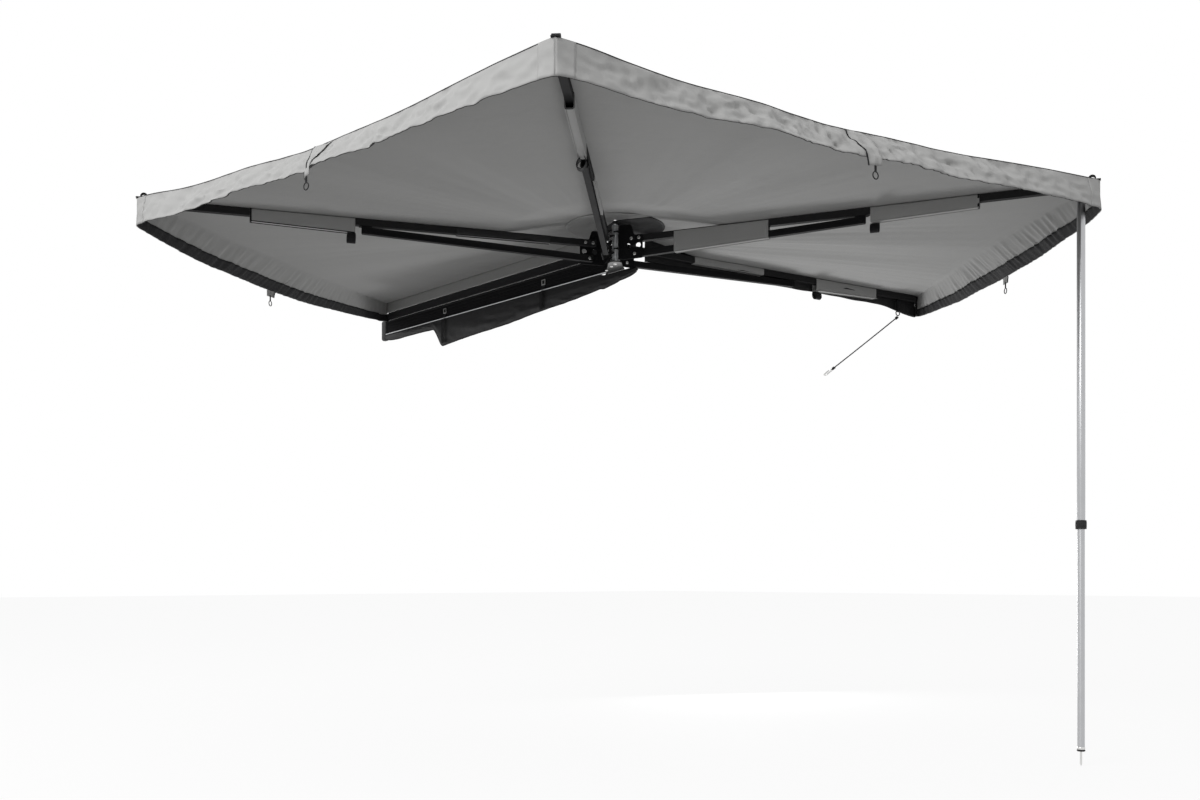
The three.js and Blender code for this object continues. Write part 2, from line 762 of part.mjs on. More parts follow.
function goreGeometry(gore) {
  const hem = 1 - valance_cloth / (arm_reach - canopy_hole_radius);
  const outer = [];
  const inner = [];
  const lift = new THREE.Vector3(0, 0, cloth);
  for (let j = 0; j <= gore_rows; j += 1) {
    const share = (j / gore_rows) ** row_power;
    const top = [];
    const under = [];
    for (let i = 0; i <= gore_columns; i += 1) {
      const across = i / gore_columns;
      top.push(canopyPoint(gore, across, share).add(lift));
      under.push(canopyPoint(gore, across, Math.min(share, hem)));
    }
    outer.push(top);
    inner.push(under);
  }
  for (let k = 1; k <= valance_rows; k += 1) {
    const down = k / valance_rows;
    const outside = [];
    const inside = [];
    for (let i = 0; i <= gore_columns; i += 1) {
      const across = i / gore_columns;
      const height = gore.heights[0] + across * (gore.heights[1] - gore.heights[0]);
      const middle = Math.max(0, Math.sin(Math.PI * across));
      const wave = valance_wave * middle * Math.sin(2 * Math.PI * valance_wave_count * across);
      const stand = valance_flare * middle ** flare_power;
      for (const [row, share, lost] of [[outside, 1, 0], [inside, hem, cloth]]) {
        const point = canopyPoint(gore, across, share);
        const out = new THREE.Vector3(point.x, point.y, 0).normalize();
        point.addScaledVector(out, down * (stand + wave));
        point.z -= lost + down * (height - cloth - lost);
        row.push(point);
      }
    }
    outer.push(outside);
    inner.push(inside);
  }
  return skinGeometry(outer, inner);
}

// Two skins of points with the same layout, closed along their borders
function skinGeometry(outer, inner) {
  const rows = outer.length;
  const columns = outer[0].length;
  const positions = [...outer.flat(), ...inner.flat()].flatMap((point) => point.toArray());
  const at = (skin, j, i) => skin * rows * columns + j * columns + i;
  const faces = [];
  const quad = (a, b, c, d) => faces.push(a, b, c, a, c, d);
  for (let j = 0; j < rows - 1; j += 1) {
    for (let i = 0; i < columns - 1; i += 1) {
      quad(at(0, j, i), at(0, j + 1, i), at(0, j + 1, i + 1), at(0, j, i + 1));
      quad(at(1, j, i), at(1, j, i + 1), at(1, j + 1, i + 1), at(1, j + 1, i));
    }
  }
  for (let i = 0; i < columns - 1; i += 1) {
    const end = rows - 1;
    quad(at(0, 0, i), at(0, 0, i + 1), at(1, 0, i + 1), at(1, 0, i));
    quad(at(0, end, i), at(1, end, i), at(1, end, i + 1), at(0, end, i + 1));
  }
  for (let j = 0; j < rows - 1; j += 1) {
    const side = columns - 1;
    quad(at(0, j, 0), at(1, j, 0), at(1, j + 1, 0), at(0, j + 1, 0));
    quad(at(0, j, side), at(0, j + 1, side), at(1, j + 1, side), at(1, j, side));
  }
  const geometry = new THREE.BufferGeometry();
  geometry.setAttribute("position", new THREE.BufferAttribute(new Float32Array(positions), 3));
  geometry.setIndex(faces);
  geometry.computeVertexNormals();
  return geometry;
}

function buildCanopy() {
  gores.forEach((gore, k) => {
    place(awning, `canopy_gore_${k + 1}`, goreGeometry(gore), grey_canvas);
  });
  const apex = sheet_level + apex_rise - patch_gap;
  const rim = sheet_level + apex_rise * (1 - patch_radius / cone_radius) - patch_gap;
  const profile = [
    new THREE.Vector2(0, apex - patch_cloth),
    new THREE.Vector2(patch_radius, rim - patch_cloth),
    new THREE.Vector2(patch_radius, rim),
    new THREE.Vector2(0, apex),
  ];
  const patch = new THREE.LatheGeometry(profile, round_steps * 2).rotateX(Math.PI / 2);
  place(awning, "canopy_apex_patch", patch, black_coated_cloth);
}

// Upright band of cloth between the channel's strip and the roof's edge above it
function buildChannelBand() {
  const short = valance_cloth + 2 * cloth + seat_gap; // the valance slants away from the channel
  const last = 1 - short / (channel_length - front_corner_setback);
  const bottom = strip_top_rise + seat_gap;
  const top = [];
  for (let j = 0; j <= gore_rows; j += 1) {
    const point = canopyPoint(gores[0], 0, Math.min((j / gore_rows) ** row_power, last));
    if (Math.hypot(point.x, point.y) > patch_radius) top.push([point.y, point.z - band_gap]);
  }
  const ends = [top[top.length - 1][0], top[0][0]];
  const shape = outline([...top, [ends[0], bottom], [ends[1], bottom]], 0);
  const outer = channel_face - front_edge_offset;
  place(awning, "canopy_channel_band", plateAlongX(shape, [outer - cloth, outer]), grey_canvas);
}

// End flap: from over the fourth rafter down its free side, deeper at the canopy's corner
function buildEndFlap(arm) {
  const side = arm_sides[3];
  const seam = side - seam_gap;
  const inside = side - rafter_width / 2 - bolt_head_height - 2 * seat_gap;
  const start = patch_radius + seat_gap;
  const outside = inside - cloth;
  const end = Math.sqrt(arm_reach ** 2 - side ** 2);
  const corner = sheet_level + cloth - valance_height;
  const rings = [];
  for (let i = 0; i <= flap_sections; i += 1) {
    const share = i / flap_sections;
    const reach = start + share * (end - start);
    const top = sheet_level + coneRise(Math.hypot(side, reach));
    const edge = -flap_inner_drop - share * (flap_drop - flap_inner_drop);
    const foot = edge + (corner - edge) * THREE.MathUtils.smoothstep(reach, end - flap_corner, end);
    rings.push([
      [inside, reach, top],
      [seam, reach, top],
      [seam, reach, top + cloth],
      [outside, reach, top + cloth],
      [outside, reach, foot],
      [inside, reach, foot],
    ]);
  }
  place(arm, "canopy_end_flap", loft(rings), black_coated_cloth);
}

// Keder strip along the top of the channel's face
function buildStrip() {
  const x = [channel_face - seat_gap - strip_thick, channel_face - seat_gap];
  const shape = outline(
    [
      [x[0] + strip_thick / 2, -strip_bottom_drop],
      [x[1], -strip_bottom_drop],
      [x[1], strip_top_rise],
      [x[0], strip_top_rise],
      [x[0], 0],
    ],
    0,
  );
  const y = [strip_start, channel_end - strip_end_setback];
  place(awning, "keder_strip", plateAlongY(shape, y), black_coated_cloth);
}

// Drop of the cover bag: deeper and deeper up to the front strap, then rolled up
function bagDrop(y) {
  const share = THREE.MathUtils.clamp((y - bag_start) / (bag_step_start - bag_start), 0, 1);
  const deep = bag_rear_drop + (bag_drop - bag_rear_drop) * share ** bag_drop_power;
  const step = THREE.MathUtils.smoothstep(y, bag_step_start, bag_step_start + bag_step_length);
  return deep + step * (bag_front_drop - deep);
}

// Cover bag: hangs open under the channel's lip and the base plate, with rounded ends
function buildBag() {
  const end = channel_end + bag_overhang;
  const section = (end - bag_start) / bag_sections;
  const x_middle = channel_face - bag_offset;
  const rings = [];
  for (let i = 0; i <= bag_sections; i += 1) {
    const share = i / bag_sections;
    const y = bag_start + share * (end - bag_start);
    const under_base = y < channel_start + base_lap + section;
    const top = (under_base ? base_top - base_thick : channel_bottom) - seat_gap;
    const along = Math.abs(2 * share - 1);
    const drop = bagDrop(y) * (1 - (1 - bag_end_share) * along ** bag_end_power);
    const ring = [];
    for (let j = 0; j < bag_points; j += 1) {
      const turn = (2 * Math.PI * j) / bag_points;
      const down = 0.5 - 0.5 * Math.cos(turn);
      const half = bag_top_half_thick + (bag_half_thick - bag_top_half_thick) * Math.sqrt(down);
      ring.push([x_middle - half * Math.sin(turn), y, top - drop * down]);
    }
    rings.push(ring);
  }
  place(awning, "cover_bag", loft(rings), black_coated_cloth);
}

function buildStraps() {
  const buckle_x = [channel_face - seat_gap - buckle_thick, channel_face - seat_gap];
  const buckle_z = [-buckle_top_drop - buckle_size, -buckle_top_drop];
  const lip_front = channel_face - lip_reach - seat_gap;
  const bag_front = channel_face - bag_offset - bag_half_thick - seat_gap;
  const lip_top = channel_bottom + lip_height;
  const strap_top = buckle_z[0] - seat_gap;
  const below_lip = channel_bottom - bag_half_thick;
  strap_places.forEach((middle, i) => {
    const word = i === 0 ? "rear" : "front";
    const inside = [
      [buckle_x[1], strap_top],
      [buckle_x[1], lip_top + seat_gap * 2 + strap_thick],
      [lip_front, lip_top + seat_gap],
      [lip_front, channel_bottom],
      [bag_front, below_lip],
      [bag_front, -strap_bottom_drops[i]],
    ];
    const outside = inside.map(([x, z]) => [x - strap_thick, z]).reverse();
    const shape = outline([...inside, ...outside], 0);
    const y = [middle - strap_width / 2, middle + strap_width / 2];
    place(awning, `bag_strap_${word}`, plateAlongY(shape, y), black_webbing);
    const half = buckle_size / 2;
    const inner = half - buckle_bar;
    const frame_middle = (buckle_z[0] + buckle_z[1]) / 2;
    const square = (r) => [
      [middle - r, frame_middle - r],
      [middle + r, frame_middle - r],
      [middle + r, frame_middle + r],
      [middle - r, frame_middle + r],
    ];
    const frame = outline(square(half), 0);
    frame.holes.push(outline(square(inner).reverse(), 0));
    place(awning, `strap_buckle_${word}`, plateAlongX(frame, buckle_x), silver_metal);
  });
}

// Pole: its group has the pivot pin at its origin and hangs down
function buildPole(arm) {
  const pivot = [arm_reach - pole_setback, -pole_pivot_drop];
  const plate_x = [-rafter_width / 2 - seat_gap - pole_plate, -rafter_width / 2 - seat_gap];
  const head_x = -pole_side - pole_radius - pole_side_gap;
  const plate = outline(
    [
      [pivot[0] - pole_plate_half, -pole_plate_drop],
      [pivot[0] + pole_plate_half, -pole_plate_drop],
      [pivot[0] + pole_plate_half, pole_plate_rise],
      [pivot[0] - pole_plate_half, pole_plate_rise],
    ],
    leaf_corner,
  );
  const bracket = join(
    solid(plateAlongX(plate, plate_x)),
    crossBar(pole_pin_radius, [head_x - pole_pin_head, plate_x[0] + overrun], pivot),
    crossBar(pole_pin_head_radius, [head_x - pole_pin_head, head_x], pivot),
  );
  place(arm, "pole_bracket", geometryOf(bracket), black_metal);

  const pole = new THREE.Group();
  pole.position.set(-pole_side, ...pivot);
  arm.add(pole);
  const from_pivot = (drop) => pole_pivot_drop - drop;
  const tube_top = -pole_shoulder;
  const tube_end = from_pivot(pole_upper_drop);
  const upper = join(
    crossBar(eye_radius, [-eye_radius, eye_radius], [0, 0]),
    bar(eye_radius, [tube_top - overrun, -eye_radius / 2]),
    bar(pole_radius, [tube_end, tube_top]),
  )
    .subtract(crossBar(pole_pin_radius + seat_gap, [-pole_radius, pole_radius], [0, 0]))
    .subtract(bar(pole_radius - pole_wall, [tube_end - overrun, tube_top - pole_solid_top]));
  place(pole, "pole_upper", geometryOf(upper), silver_metal);

  const collar_z = [tube_end - collar_height, tube_end - seat_gap];
  const collar = bar(collar_radius, collar_z).subtract(
    bar(lower_radius + pole_side_gap, [collar_z[0] - overrun, collar_z[1] + overrun]),
  );
  place(pole, "pole_collar", geometryOf(collar), black_plastic);

  const lower_z = [from_pivot(lower_drop), tube_end + lower_overlap];
  const lower = bar(lower_radius, lower_z).subtract(
    bar(lower_radius - lower_wall, [lower_z[0] + lower_bottom, lower_z[1] + overrun]),
  );
  place(pole, "pole_lower", geometryOf(lower), silver_metal);

  const foot_top = lower_z[0] - seat_gap;
  const spike_top = foot_top - foot_thick;
  const tip = spike_top - spike_length;
  const foot_profile = [
    new THREE.Vector2(0, tip),
    new THREE.Vector2(spike_radius, tip + spike_point),
    new THREE.Vector2(spike_radius, spike_top),
    new THREE.Vector2(foot_radius, spike_top),
    new THREE.Vector2(foot_radius, foot_top),
    new THREE.Vector2(0, foot_top),
  ];
  const foot = new THREE.LatheGeometry(foot_profile, round_steps).rotateX(Math.PI / 2);
  place(pole, "pole_foot", foot, black_plastic);
}

// Guy line: webbing loop and ring under the fourth rafter, rope and end hook
function buildGuyLine(arm) {
  const line = new THREE.Group();
  line.position.set(arm_sides[3], guy_reach, -rafter_height / 2 - seat_gap);
  arm.add(line);
  const half = loop_half_breadth;
  const link = outline([[-half, -loop_length], [half, -loop_length], [half, 0], [-half, 0]], 0);
  const gap = half - loop_wall;
  const window = [
    [-gap, -loop_length + loop_wall],
    [-gap, -loop_wall],
    [gap, -loop_wall],
    [gap, -loop_length + loop_wall],
  ];
  link.holes.push(outline(window, 0));
  place(line, "guy_loop", plateAlongY(link, [-loop_width / 2, loop_width / 2]), black_webbing);

  const ring = new THREE.TorusGeometry(ring_radius, ring_wire_radius, ring_sides, round_steps);
  const ring_mesh = place(line, "guy_ring", ring.rotateY(Math.PI / 2), black_plastic);
  const inside_ring = ring_radius - ring_wire_radius - seat_gap;
  ring_mesh.position.z = loop_wall - loop_length - Math.sqrt(inside_ring ** 2 - (loop_width / 2) ** 2);

  const route = new THREE.CatmullRomCurve3(rope_route.map((point) => new THREE.Vector3(...point)));
  const section = new THREE.Shape().absarc(0, 0, rope_radius, 0, 2 * Math.PI, false);
  const options = { steps: rope_route.length - 1, curveSegments: rope_sides / 2, extrudePath: route };
  place(awning, "guy_rope", new THREE.ExtrudeGeometry(section, options), black_rope);

  const end = new THREE.Vector3(...rope_route[rope_route.length - 1]);
  const before = new THREE.Vector3(...rope_route[rope_route.length - 2]);
  const heading = end.clone().sub(before).normalize();
  const frame = (width, length, radius) =>
    outline([[-width / 2, 0], [width / 2, 0], [width / 2, length], [-width / 2, length]], radius);
  const outside = frame(hook_width, hook_length, hook_corner);
  const wire = hook_wire;
  const hollow = frame(hook_width - 2 * wire, hook_length - 2 * wire, hook_corner - wire);
  const eye = solid(plateAlongZ(outside, [-wire / 2, wire / 2])).subtract(
    solid(plateAlongZ(hollow, [-wire / 2 - overrun, wire / 2 + overrun])).translate([0, wire, 0]),
  );
  const hook = place(awning, "guy_hook", geometryOf(eye), silver_metal);
  hook.position.copy(end).addScaledVector(heading, seat_gap);
  hook.quaternion.setFromUnitVectors(axis_y, heading);
}

buildChannel();
buildBrackets();
buildHingeBase();
arms.forEach(buildArm);
buildCanopy();
buildChannelBand();
buildEndFlap(arms[3]);
buildStrip();
buildBag();
buildStraps();
buildPole(arms[2]);
buildGuyLine(arms[3]);

const part = new THREE.Group();
part.add(awning);
export default part;
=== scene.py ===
# Vehicle side awning: the looks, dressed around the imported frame
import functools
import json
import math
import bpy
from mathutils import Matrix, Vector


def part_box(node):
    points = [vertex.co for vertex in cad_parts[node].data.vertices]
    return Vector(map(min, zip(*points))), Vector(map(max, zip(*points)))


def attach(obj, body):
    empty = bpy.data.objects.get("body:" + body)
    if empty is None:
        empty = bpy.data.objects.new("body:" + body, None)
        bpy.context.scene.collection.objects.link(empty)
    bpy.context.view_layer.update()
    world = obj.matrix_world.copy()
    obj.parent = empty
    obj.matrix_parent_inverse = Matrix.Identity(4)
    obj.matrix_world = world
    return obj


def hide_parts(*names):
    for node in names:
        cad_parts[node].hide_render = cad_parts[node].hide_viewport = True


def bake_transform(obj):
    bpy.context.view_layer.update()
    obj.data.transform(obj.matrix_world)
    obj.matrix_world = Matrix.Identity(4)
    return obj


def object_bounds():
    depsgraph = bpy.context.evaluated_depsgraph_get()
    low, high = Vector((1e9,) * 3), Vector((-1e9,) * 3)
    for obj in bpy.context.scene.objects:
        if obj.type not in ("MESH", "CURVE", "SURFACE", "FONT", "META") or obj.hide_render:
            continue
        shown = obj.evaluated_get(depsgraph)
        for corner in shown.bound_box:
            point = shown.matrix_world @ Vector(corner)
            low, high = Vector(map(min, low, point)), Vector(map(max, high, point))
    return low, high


bl_info = {
    "name": "Vehicle side awning",
    "version": (1, 0, 0),
    "blender": (4, 5, 0),
    "location": "View3D > Sidebar > Awning",
    "description": "Dresses the frame of a vehicle side awning with cloth, webbing, fasteners and finishes",
    "category": "Object",
}

import bmesh
import bpy
import numpy as np
from bpy.props import FloatProperty, FloatVectorProperty, IntProperty, PointerProperty
from mathutils import Vector, noise

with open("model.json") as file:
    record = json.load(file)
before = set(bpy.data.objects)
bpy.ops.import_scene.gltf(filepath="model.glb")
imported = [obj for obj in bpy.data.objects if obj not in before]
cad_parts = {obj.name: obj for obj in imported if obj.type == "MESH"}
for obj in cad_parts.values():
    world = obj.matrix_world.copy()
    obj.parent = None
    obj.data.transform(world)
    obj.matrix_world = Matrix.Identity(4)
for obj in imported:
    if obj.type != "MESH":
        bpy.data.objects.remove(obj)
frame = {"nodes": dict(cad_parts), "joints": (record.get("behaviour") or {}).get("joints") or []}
cad_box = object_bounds()

MM = 0.001
UP = np.array([0.0, 0.0, 1.0])
LEVEL = np.array([1, 1, 0])
ARMS = (1, 2, 3, 4)
GORES = (1, 2, 3, 4)
NEAR_GORES = (2, 3)
LAST = 4
DARK_SLEEVES = ("sleeve_inner_1",)
GORE_SPANS = (66.3, 67.4, 71.9, 55.1)
POST = np.array(next(j["pos_m"] for j in frame["joints"] if j["name"] == "arm_1_turn"))

# Route of the guy rope, from its ring to its hook, in metres from the post's axis and the rafter's middle
ROPE_ROUTE = [
    (1.6536, -0.2067, -0.0983),
    (1.6516, -0.1813, -0.1129),
    (1.6497, -0.1568, -0.1270),
    (1.6478, -0.1322, -0.1411),
    (1.6459, -0.1077, -0.1552),
    (1.6439, -0.0831, -0.1692),
    (1.6420, -0.0586, -0.1831),
    (1.6401, -0.0340, -0.1970),
    (1.6382, -0.0094, -0.2109),
    (1.6363, 0.0151, -0.2247),
    (1.6344, 0.0397, -0.2385),
    (1.6325, 0.0642, -0.2522),
    (1.6306, 0.0888, -0.2659),
    (1.6286, 0.1133, -0.2796),
    (1.6267, 0.1379, -0.2932),
    (1.6248, 0.1625, -0.3068),
]


# Sizes and colours that a user would change

def length(name, default_mm, description=""):
    return FloatProperty(
        name=name, description=description or name, default=default_mm * MM, min=0.0, precision=5,
        subtype="DISTANCE", unit="LENGTH",
    )


def colour(name, value, description=""):
    return FloatVectorProperty(
        name=name, description=description or name, default=value, size=3, min=0.0, max=1.0, subtype="COLOR"
    )


def share(name, default, description=""):
    return FloatProperty(name=name, description=description or name, default=default, subtype="FACTOR")


def count(name, default, least, description):
    return IntProperty(name=name, description=description, default=default, min=least)


class AwningCanopySizes(bpy.types.PropertyGroup):
    cloth: length("Cloth", 1.2, "Thickness of the canvas")
    hole_radius: length("Hole radius", 100, "Where the gores start, from the post's axis")
    reach: length("Reach", 1800, "From the post's axis to a corner")
    seam_gap: length("Seam gap", 0.4, "Each side of a rafter's middle")
    apex_rise: length("Apex rise", 72)
    cone_radius: length("Cone radius", 450, "The canopy rises to its apex inside this")
    patch_radius: length("Patch radius", 200)
    edge_sags: FloatVectorProperty(
        name="Edge sags", description="Sag of each gore's free edge at mid-span", size=4, unit="LENGTH",
        default=(58 * MM, 32 * MM, 28 * MM, 26 * MM),
    )
    hollow_power: share("Hollow power", 1.3, "The larger, the flatter the cloth beside the arms")
    edge_bow: length("Edge bow", 58, "Inward curve of the free edges at mid-span")
    channel_rise: length("Rise at the channel", 79, "Of the canvas along the channel")
    fold: length("Fold", 5, "Height of the long folds")
    crease: length("Crease", 2.4, "Height of the small creases")
    channel_pucker: length("Puckers at the channel", 5)
    valance: length("Valance", 98, "Height of the hanging edge")
    valance_front: length("Valance at the channel", 94)
    flare: length("Flare", 114, "How far the hanging edge's hem stands out at mid-span")
    near_flare: length("Near flare", 76, "The same for the two gores beside arm 2")
    near_sag: length("Near sag", 15, "Extra sag of those two gores beside their first arm")
    flare_power: share("Flare power", 0.6, "The smaller, the nearer to the corners it stands out")
    wave: length("Wave", 5, "Wave of the hanging edge")
    crumple: length("Crumple", 21, "Depth of the crumples in the two near hanging edges")
    pleat: length("Pleat", 7, "Depth of the upright pleats in the other two")
    hem: length("Hem", 38, "Height of the webbing inside the hanging edge")
    hem_thick: length("Hem thickness", 1.4)
    hem_inset: length("Hem inset", 3.4, "From the middle of the hanging cloth inwards")
    piping: length("Piping", 1.5, "Radius of the piping along the canopy's edge")
    tape: length("Seam tape", 24, "Width of the tape over each seam")
    corner: length("Corner patch", 46, "Width of the corner patches on each side")
    columns: count("Columns", 230, 8, "Mesh columns across a gore")
    rows: count("Rows", 64, 8, "Mesh rows outwards")
    valance_rows: count("Valance rows", 14, 2, "Mesh rows down the edge")


class AwningClothSizes(bpy.types.PropertyGroup):
    sleeve_cloth: length("Sleeve cloth", 1.2)
    sleeve_hem: length("Sleeve hem", 12, "Width of the doubled ends of a sleeve")
    sleeve_crease: length("Sleeve crease", 2.2)
    sleeve_piping: length("Sleeve piping", 1.6, "Radius of the dark piping under a sleeve")
    bag_crease: length("Bag crease", 5)
    bag_piping: length("Bag piping", 2.4)
    strap_thick: length("Strap thickness", 2)
    zip_pitch: length("Zip pitch", 5.2, "From tooth to tooth")
    zip_tooth: length("Zip tooth", 3)
    stow_width: length("Stow strap width", 32)
    loop_width: length("Corner loop width", 24)
    tab_width: length("Tie tab width", 95)
    tab_over: length("Tie tab overhang", 26, "How far a tie tab hangs below the canopy's edge")
    ring_radius: length("Tie ring radius", 11)
    ring_wire: length("Tie ring wire", 1.9)
    bag_rear: length("Bag's rear end", 35, "Behind the post's axis, under the base plate")
    bag_under_plate: length("Bag under the base plate", 91, "Below the rafters' middle")
    bag_start: length("Bag's drop starts", 70, "From the post's axis")
    bag_rear_drop: length("Bag's drop at its rear", 44)
    bag_drop: length("Bag's drop at the front strap", 130)
    bag_front_drop: length("Bag's drop at its front", 38)
    bag_step: length("Bag's step", 1345, "From the post's axis")
    bag_step_length: length("Length of the bag's step", 90)


class AwningHardwareSizes(bpy.types.PropertyGroup):
    edge: length("Edge rounding", 0.7, "Rounding of the metal edges")
    bolt_radius: length("Bolt head radius", 6.5)
    bolt_height: length("Bolt head height", 4)
    leaf_bolt_height: length("Leaf bolt height", 0.7, "Low, to clear the next arm when folded")
    small_bolt_radius: length("Small bolt head radius", 4.5)
    rope: length("Rope diameter", 6)
    grip_depth: length("Grip groove", 0.9, "Depth of the grooves around the pole's collar")
    grip_count: count("Grip grooves", 26, 6, "Grooves around the collar")


class AwningColours(bpy.types.PropertyGroup):
    canvas: colour("Canvas", (0.37, 0.37, 0.365))
    sleeve: colour("Sleeves", (0.42, 0.42, 0.415))
    black_metal: colour("Black metal", (0.015, 0.015, 0.016))
    silver_metal: colour("Silver metal", (0.60, 0.61, 0.62))
    # A darker copy of the silver metal for the pole: painted shade that tones down its reflection of the
    # bright surroundings
    pole_metal: colour("Pole metal", (0.47, 0.475, 0.485))
    black_plastic: colour("Black plastic", (0.016, 0.016, 0.017))
    coated_cloth: colour("Coated cloth", (0.022, 0.022, 0.023))
    webbing: colour("Webbing", (0.007, 0.007, 0.008))
    rope: colour("Rope", (0.02, 0.02, 0.021))
    cast_metal: colour("Cast metal", (0.115, 0.115, 0.115), "Base plate")
    zinc: colour("Zinc", (0.66, 0.66, 0.65), "Bolts and rings")
    floor: colour("Floor", (0.80, 0.80, 0.80))
    floor_bounce: colour("Floor's bounce", (0.3, 0.3, 0.3), "How the floor lights what is above it")


class AwningStageSettings(bpy.types.PropertyGroup):
    camera_place: FloatVectorProperty(
        name="Camera", description="Camera's place", default=(-3.4303, -4.5555, -1.282),
        subtype="TRANSLATION", unit="LENGTH",
    )
    camera_yaw: FloatProperty(
        name="Yaw", description="Camera's turn to the right of +Y", default=math.radians(41.731),
        subtype="ANGLE", unit="ROTATION",
    )
    focal_pixels: FloatProperty(name="Focal length in pixels", description="In the photo", default=1203.9)
    horizon_pixel: FloatProperty(name="Horizon", description="Its row in the photo", default=577.9)
    photo_width: IntProperty(name="Photo width", description="In pixels", default=1200)
    photo_height: IntProperty(name="Photo height", description="In pixels", default=800)
    floor_size: FloatProperty(name="Floor size", description="Side of the floor", default=80.0, unit="LENGTH")
    key_power: FloatProperty(name="Key light", description="Its power", default=420.0, unit="POWER")
    low_power: FloatProperty(name="Low light", description="Its power", default=27.0, unit="POWER")
    sky: FloatProperty(name="Sky", description="Strength of the even light", default=0.82)


GROUPS = {
    "awning_canopy": AwningCanopySizes,
    "awning_cloth": AwningClothSizes,
    "awning_hardware": AwningHardwareSizes,
    "awning_colours": AwningColours,
    "awning_stage": AwningStageSettings,
}


def settings(group):
    return getattr(bpy.context.scene, f"awning_{group}")


# Meshes: a shape is a pair of vertices and faces

def add_mesh(name, shape, finish, smooth=40):
    mesh = bpy.data.meshes.new(name)
    points = np.asarray(shape[0], float).reshape(-1, 3)
    mesh.from_pydata(points.tolist(), [], [list(map(int, face)) for face in shape[1]])
    mesh.materials.append(finish)
    mesh.shade_smooth()
    mesh.set_sharp_from_angle(angle=math.radians(smooth))
    obj = bpy.data.objects.new(name, mesh)
    bpy.context.scene.collection.objects.link(obj)
    return obj


def thicken(obj, thickness):
    modifier = obj.modifiers.new("thickness", "SOLIDIFY")
    modifier.thickness = thickness
    modifier.offset = 0.0


def add_piece(name, shape, slot, body="root", finish=None, nodes=(), smooth=40, thick=0.0):
    """A piece that rides on a body and may stand for CAD nodes."""
    obj = add_mesh(name, shape, material(finish or slot), smooth)
    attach(obj, body)
    if nodes:
        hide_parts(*nodes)
    if thick:
        thicken(obj, thick)
    return obj


def add_zinc(name, shapes, body="root"):
    return add_piece(name, joined(shapes), "silver_metal", body, "zinc")


def joined(shapes):
    vertices = []
    faces = []
    for points, polygons in shapes:
        start = len(vertices)
        vertices.extend(np.asarray(points, float).reshape(-1, 3).tolist())
        faces.extend([[i + start for i in polygon] for polygon in polygons])
    return vertices, faces


def grid_faces(rows, columns, wrap=False):
    faces = []
    for j in range(rows - 1):
        for i in range(columns if wrap else columns - 1):
            k = (i + 1) % columns
            faces.append([j * columns + i, j * columns + k, (j + 1) * columns + k, (j + 1) * columns + i])
    return faces


def sheet_shape(grid, origin=POST):
    return grid + origin, grid_faces(*grid.shape[:2])


def tube_faces(rows, columns, joined_ends=False, inward=False):
    """Faces of a tube of rings, with a face at each end, or with its ends joined."""
    faces = grid_faces(rows, columns, wrap=True)
    first = list(range(columns))
    last = [(rows - 1) * columns + i for i in first]
    if joined_ends:
        return faces + [[last[i], last[(i + 1) % columns], (i + 1) % columns, i] for i in first]
    return faces + ([first, last[::-1]] if inward else [first[::-1], last])


def circle(radius, steps=8):
    turns = np.arange(steps) * 2 * math.pi / steps
    return np.stack([radius * np.cos(turns), radius * np.sin(turns)], axis=1)


def flat_section(width, thick, rim_share=0.3):
    """A webbing's section: flat, with soft rims."""
    w, t = width / 2, thick / 2
    r = min(thick * rim_share, w)
    return np.array([
        (-w, -t + r), (-w + r, -t), (w - r, -t), (w, -t + r),
        (w, t - r), (w - r, t), (-w + r, t), (-w, t - r),
    ])


def sweep(path, section, up=UP, closed=False):
    """A section carried along a path: its first axis lies sideways and its second one upwards."""
    path = np.asarray(path, float)
    if closed:
        tangents = np.roll(path, -1, axis=0) - np.roll(path, 1, axis=0)
    else:
        tangents = np.gradient(path, axis=0)
    tangents /= np.linalg.norm(tangents, axis=1)[:, None]
    rings = []
    for i, tangent in enumerate(tangents):
        here = section(i) if callable(section) else section
        side = np.cross(tangent, up(i) if callable(up) else up)
        side /= max(np.linalg.norm(side), 1e-9)
        rings.append(path[i] + here[:, :1] * side + here[:, 1:] * np.cross(side, tangent))
    return np.concatenate(rings), tube_faces(len(path), len(rings[0]), closed)


def ribbon(path, width, thick, across):
    """Webbing along a path, with its width held along one direction."""
    path = np.asarray(path)

    def up(i):
        return np.cross(across, path[min(i + 1, len(path) - 1)] - path[max(i - 1, 0)])

    return sweep(path, flat_section(width, thick), up)


def smooth_path(points, per_span):
    """Points of a smooth curve through the given ones."""
    points = [np.asarray(p, float) for p in points]
    padded = [2 * points[0] - points[1], *points, 2 * points[-1] - points[-2]]
    result = []
    for i in range(1, len(padded) - 2):
        p0, p1, p2, p3 = padded[i - 1:i + 3]
        for step in range(per_span):
            t = step / per_span
            result.append(0.5 * (
                2 * p1 + (p2 - p0) * t + (2 * p0 - 5 * p1 + 4 * p2 - p3) * t ** 2
                + (3 * p1 - p0 - 3 * p2 + p3) * t ** 3
            ))
    result.append(points[-1])
    return np.array(result)


def lathe(profile, steps=24):
    """A closed round body about Z from (radius, height) pairs that start and end on the axis."""
    vertices = [(0, 0, profile[0][1])]
    rings = profile[1:-1]
    for radius, height in rings:
        for i in range(steps):
            turn = 2 * math.pi * i / steps
            vertices.append((radius * math.cos(turn), radius * math.sin(turn), height))
    vertices.append((0, 0, profile[-1][1]))
    last = 1 + (len(rings) - 1) * steps
    faces = [[0, 1 + (i + 1) % steps, 1 + i] for i in range(steps)]
    faces += [[i + 1 for i in face] for face in grid_faces(len(rings), steps, wrap=True)]
    faces += [[last + i, last + (i + 1) % steps, len(vertices) - 1] for i in range(steps)]
    return np.array(vertices, float), faces


def placed(shape, place):
    return shape[0] + place, shape[1]


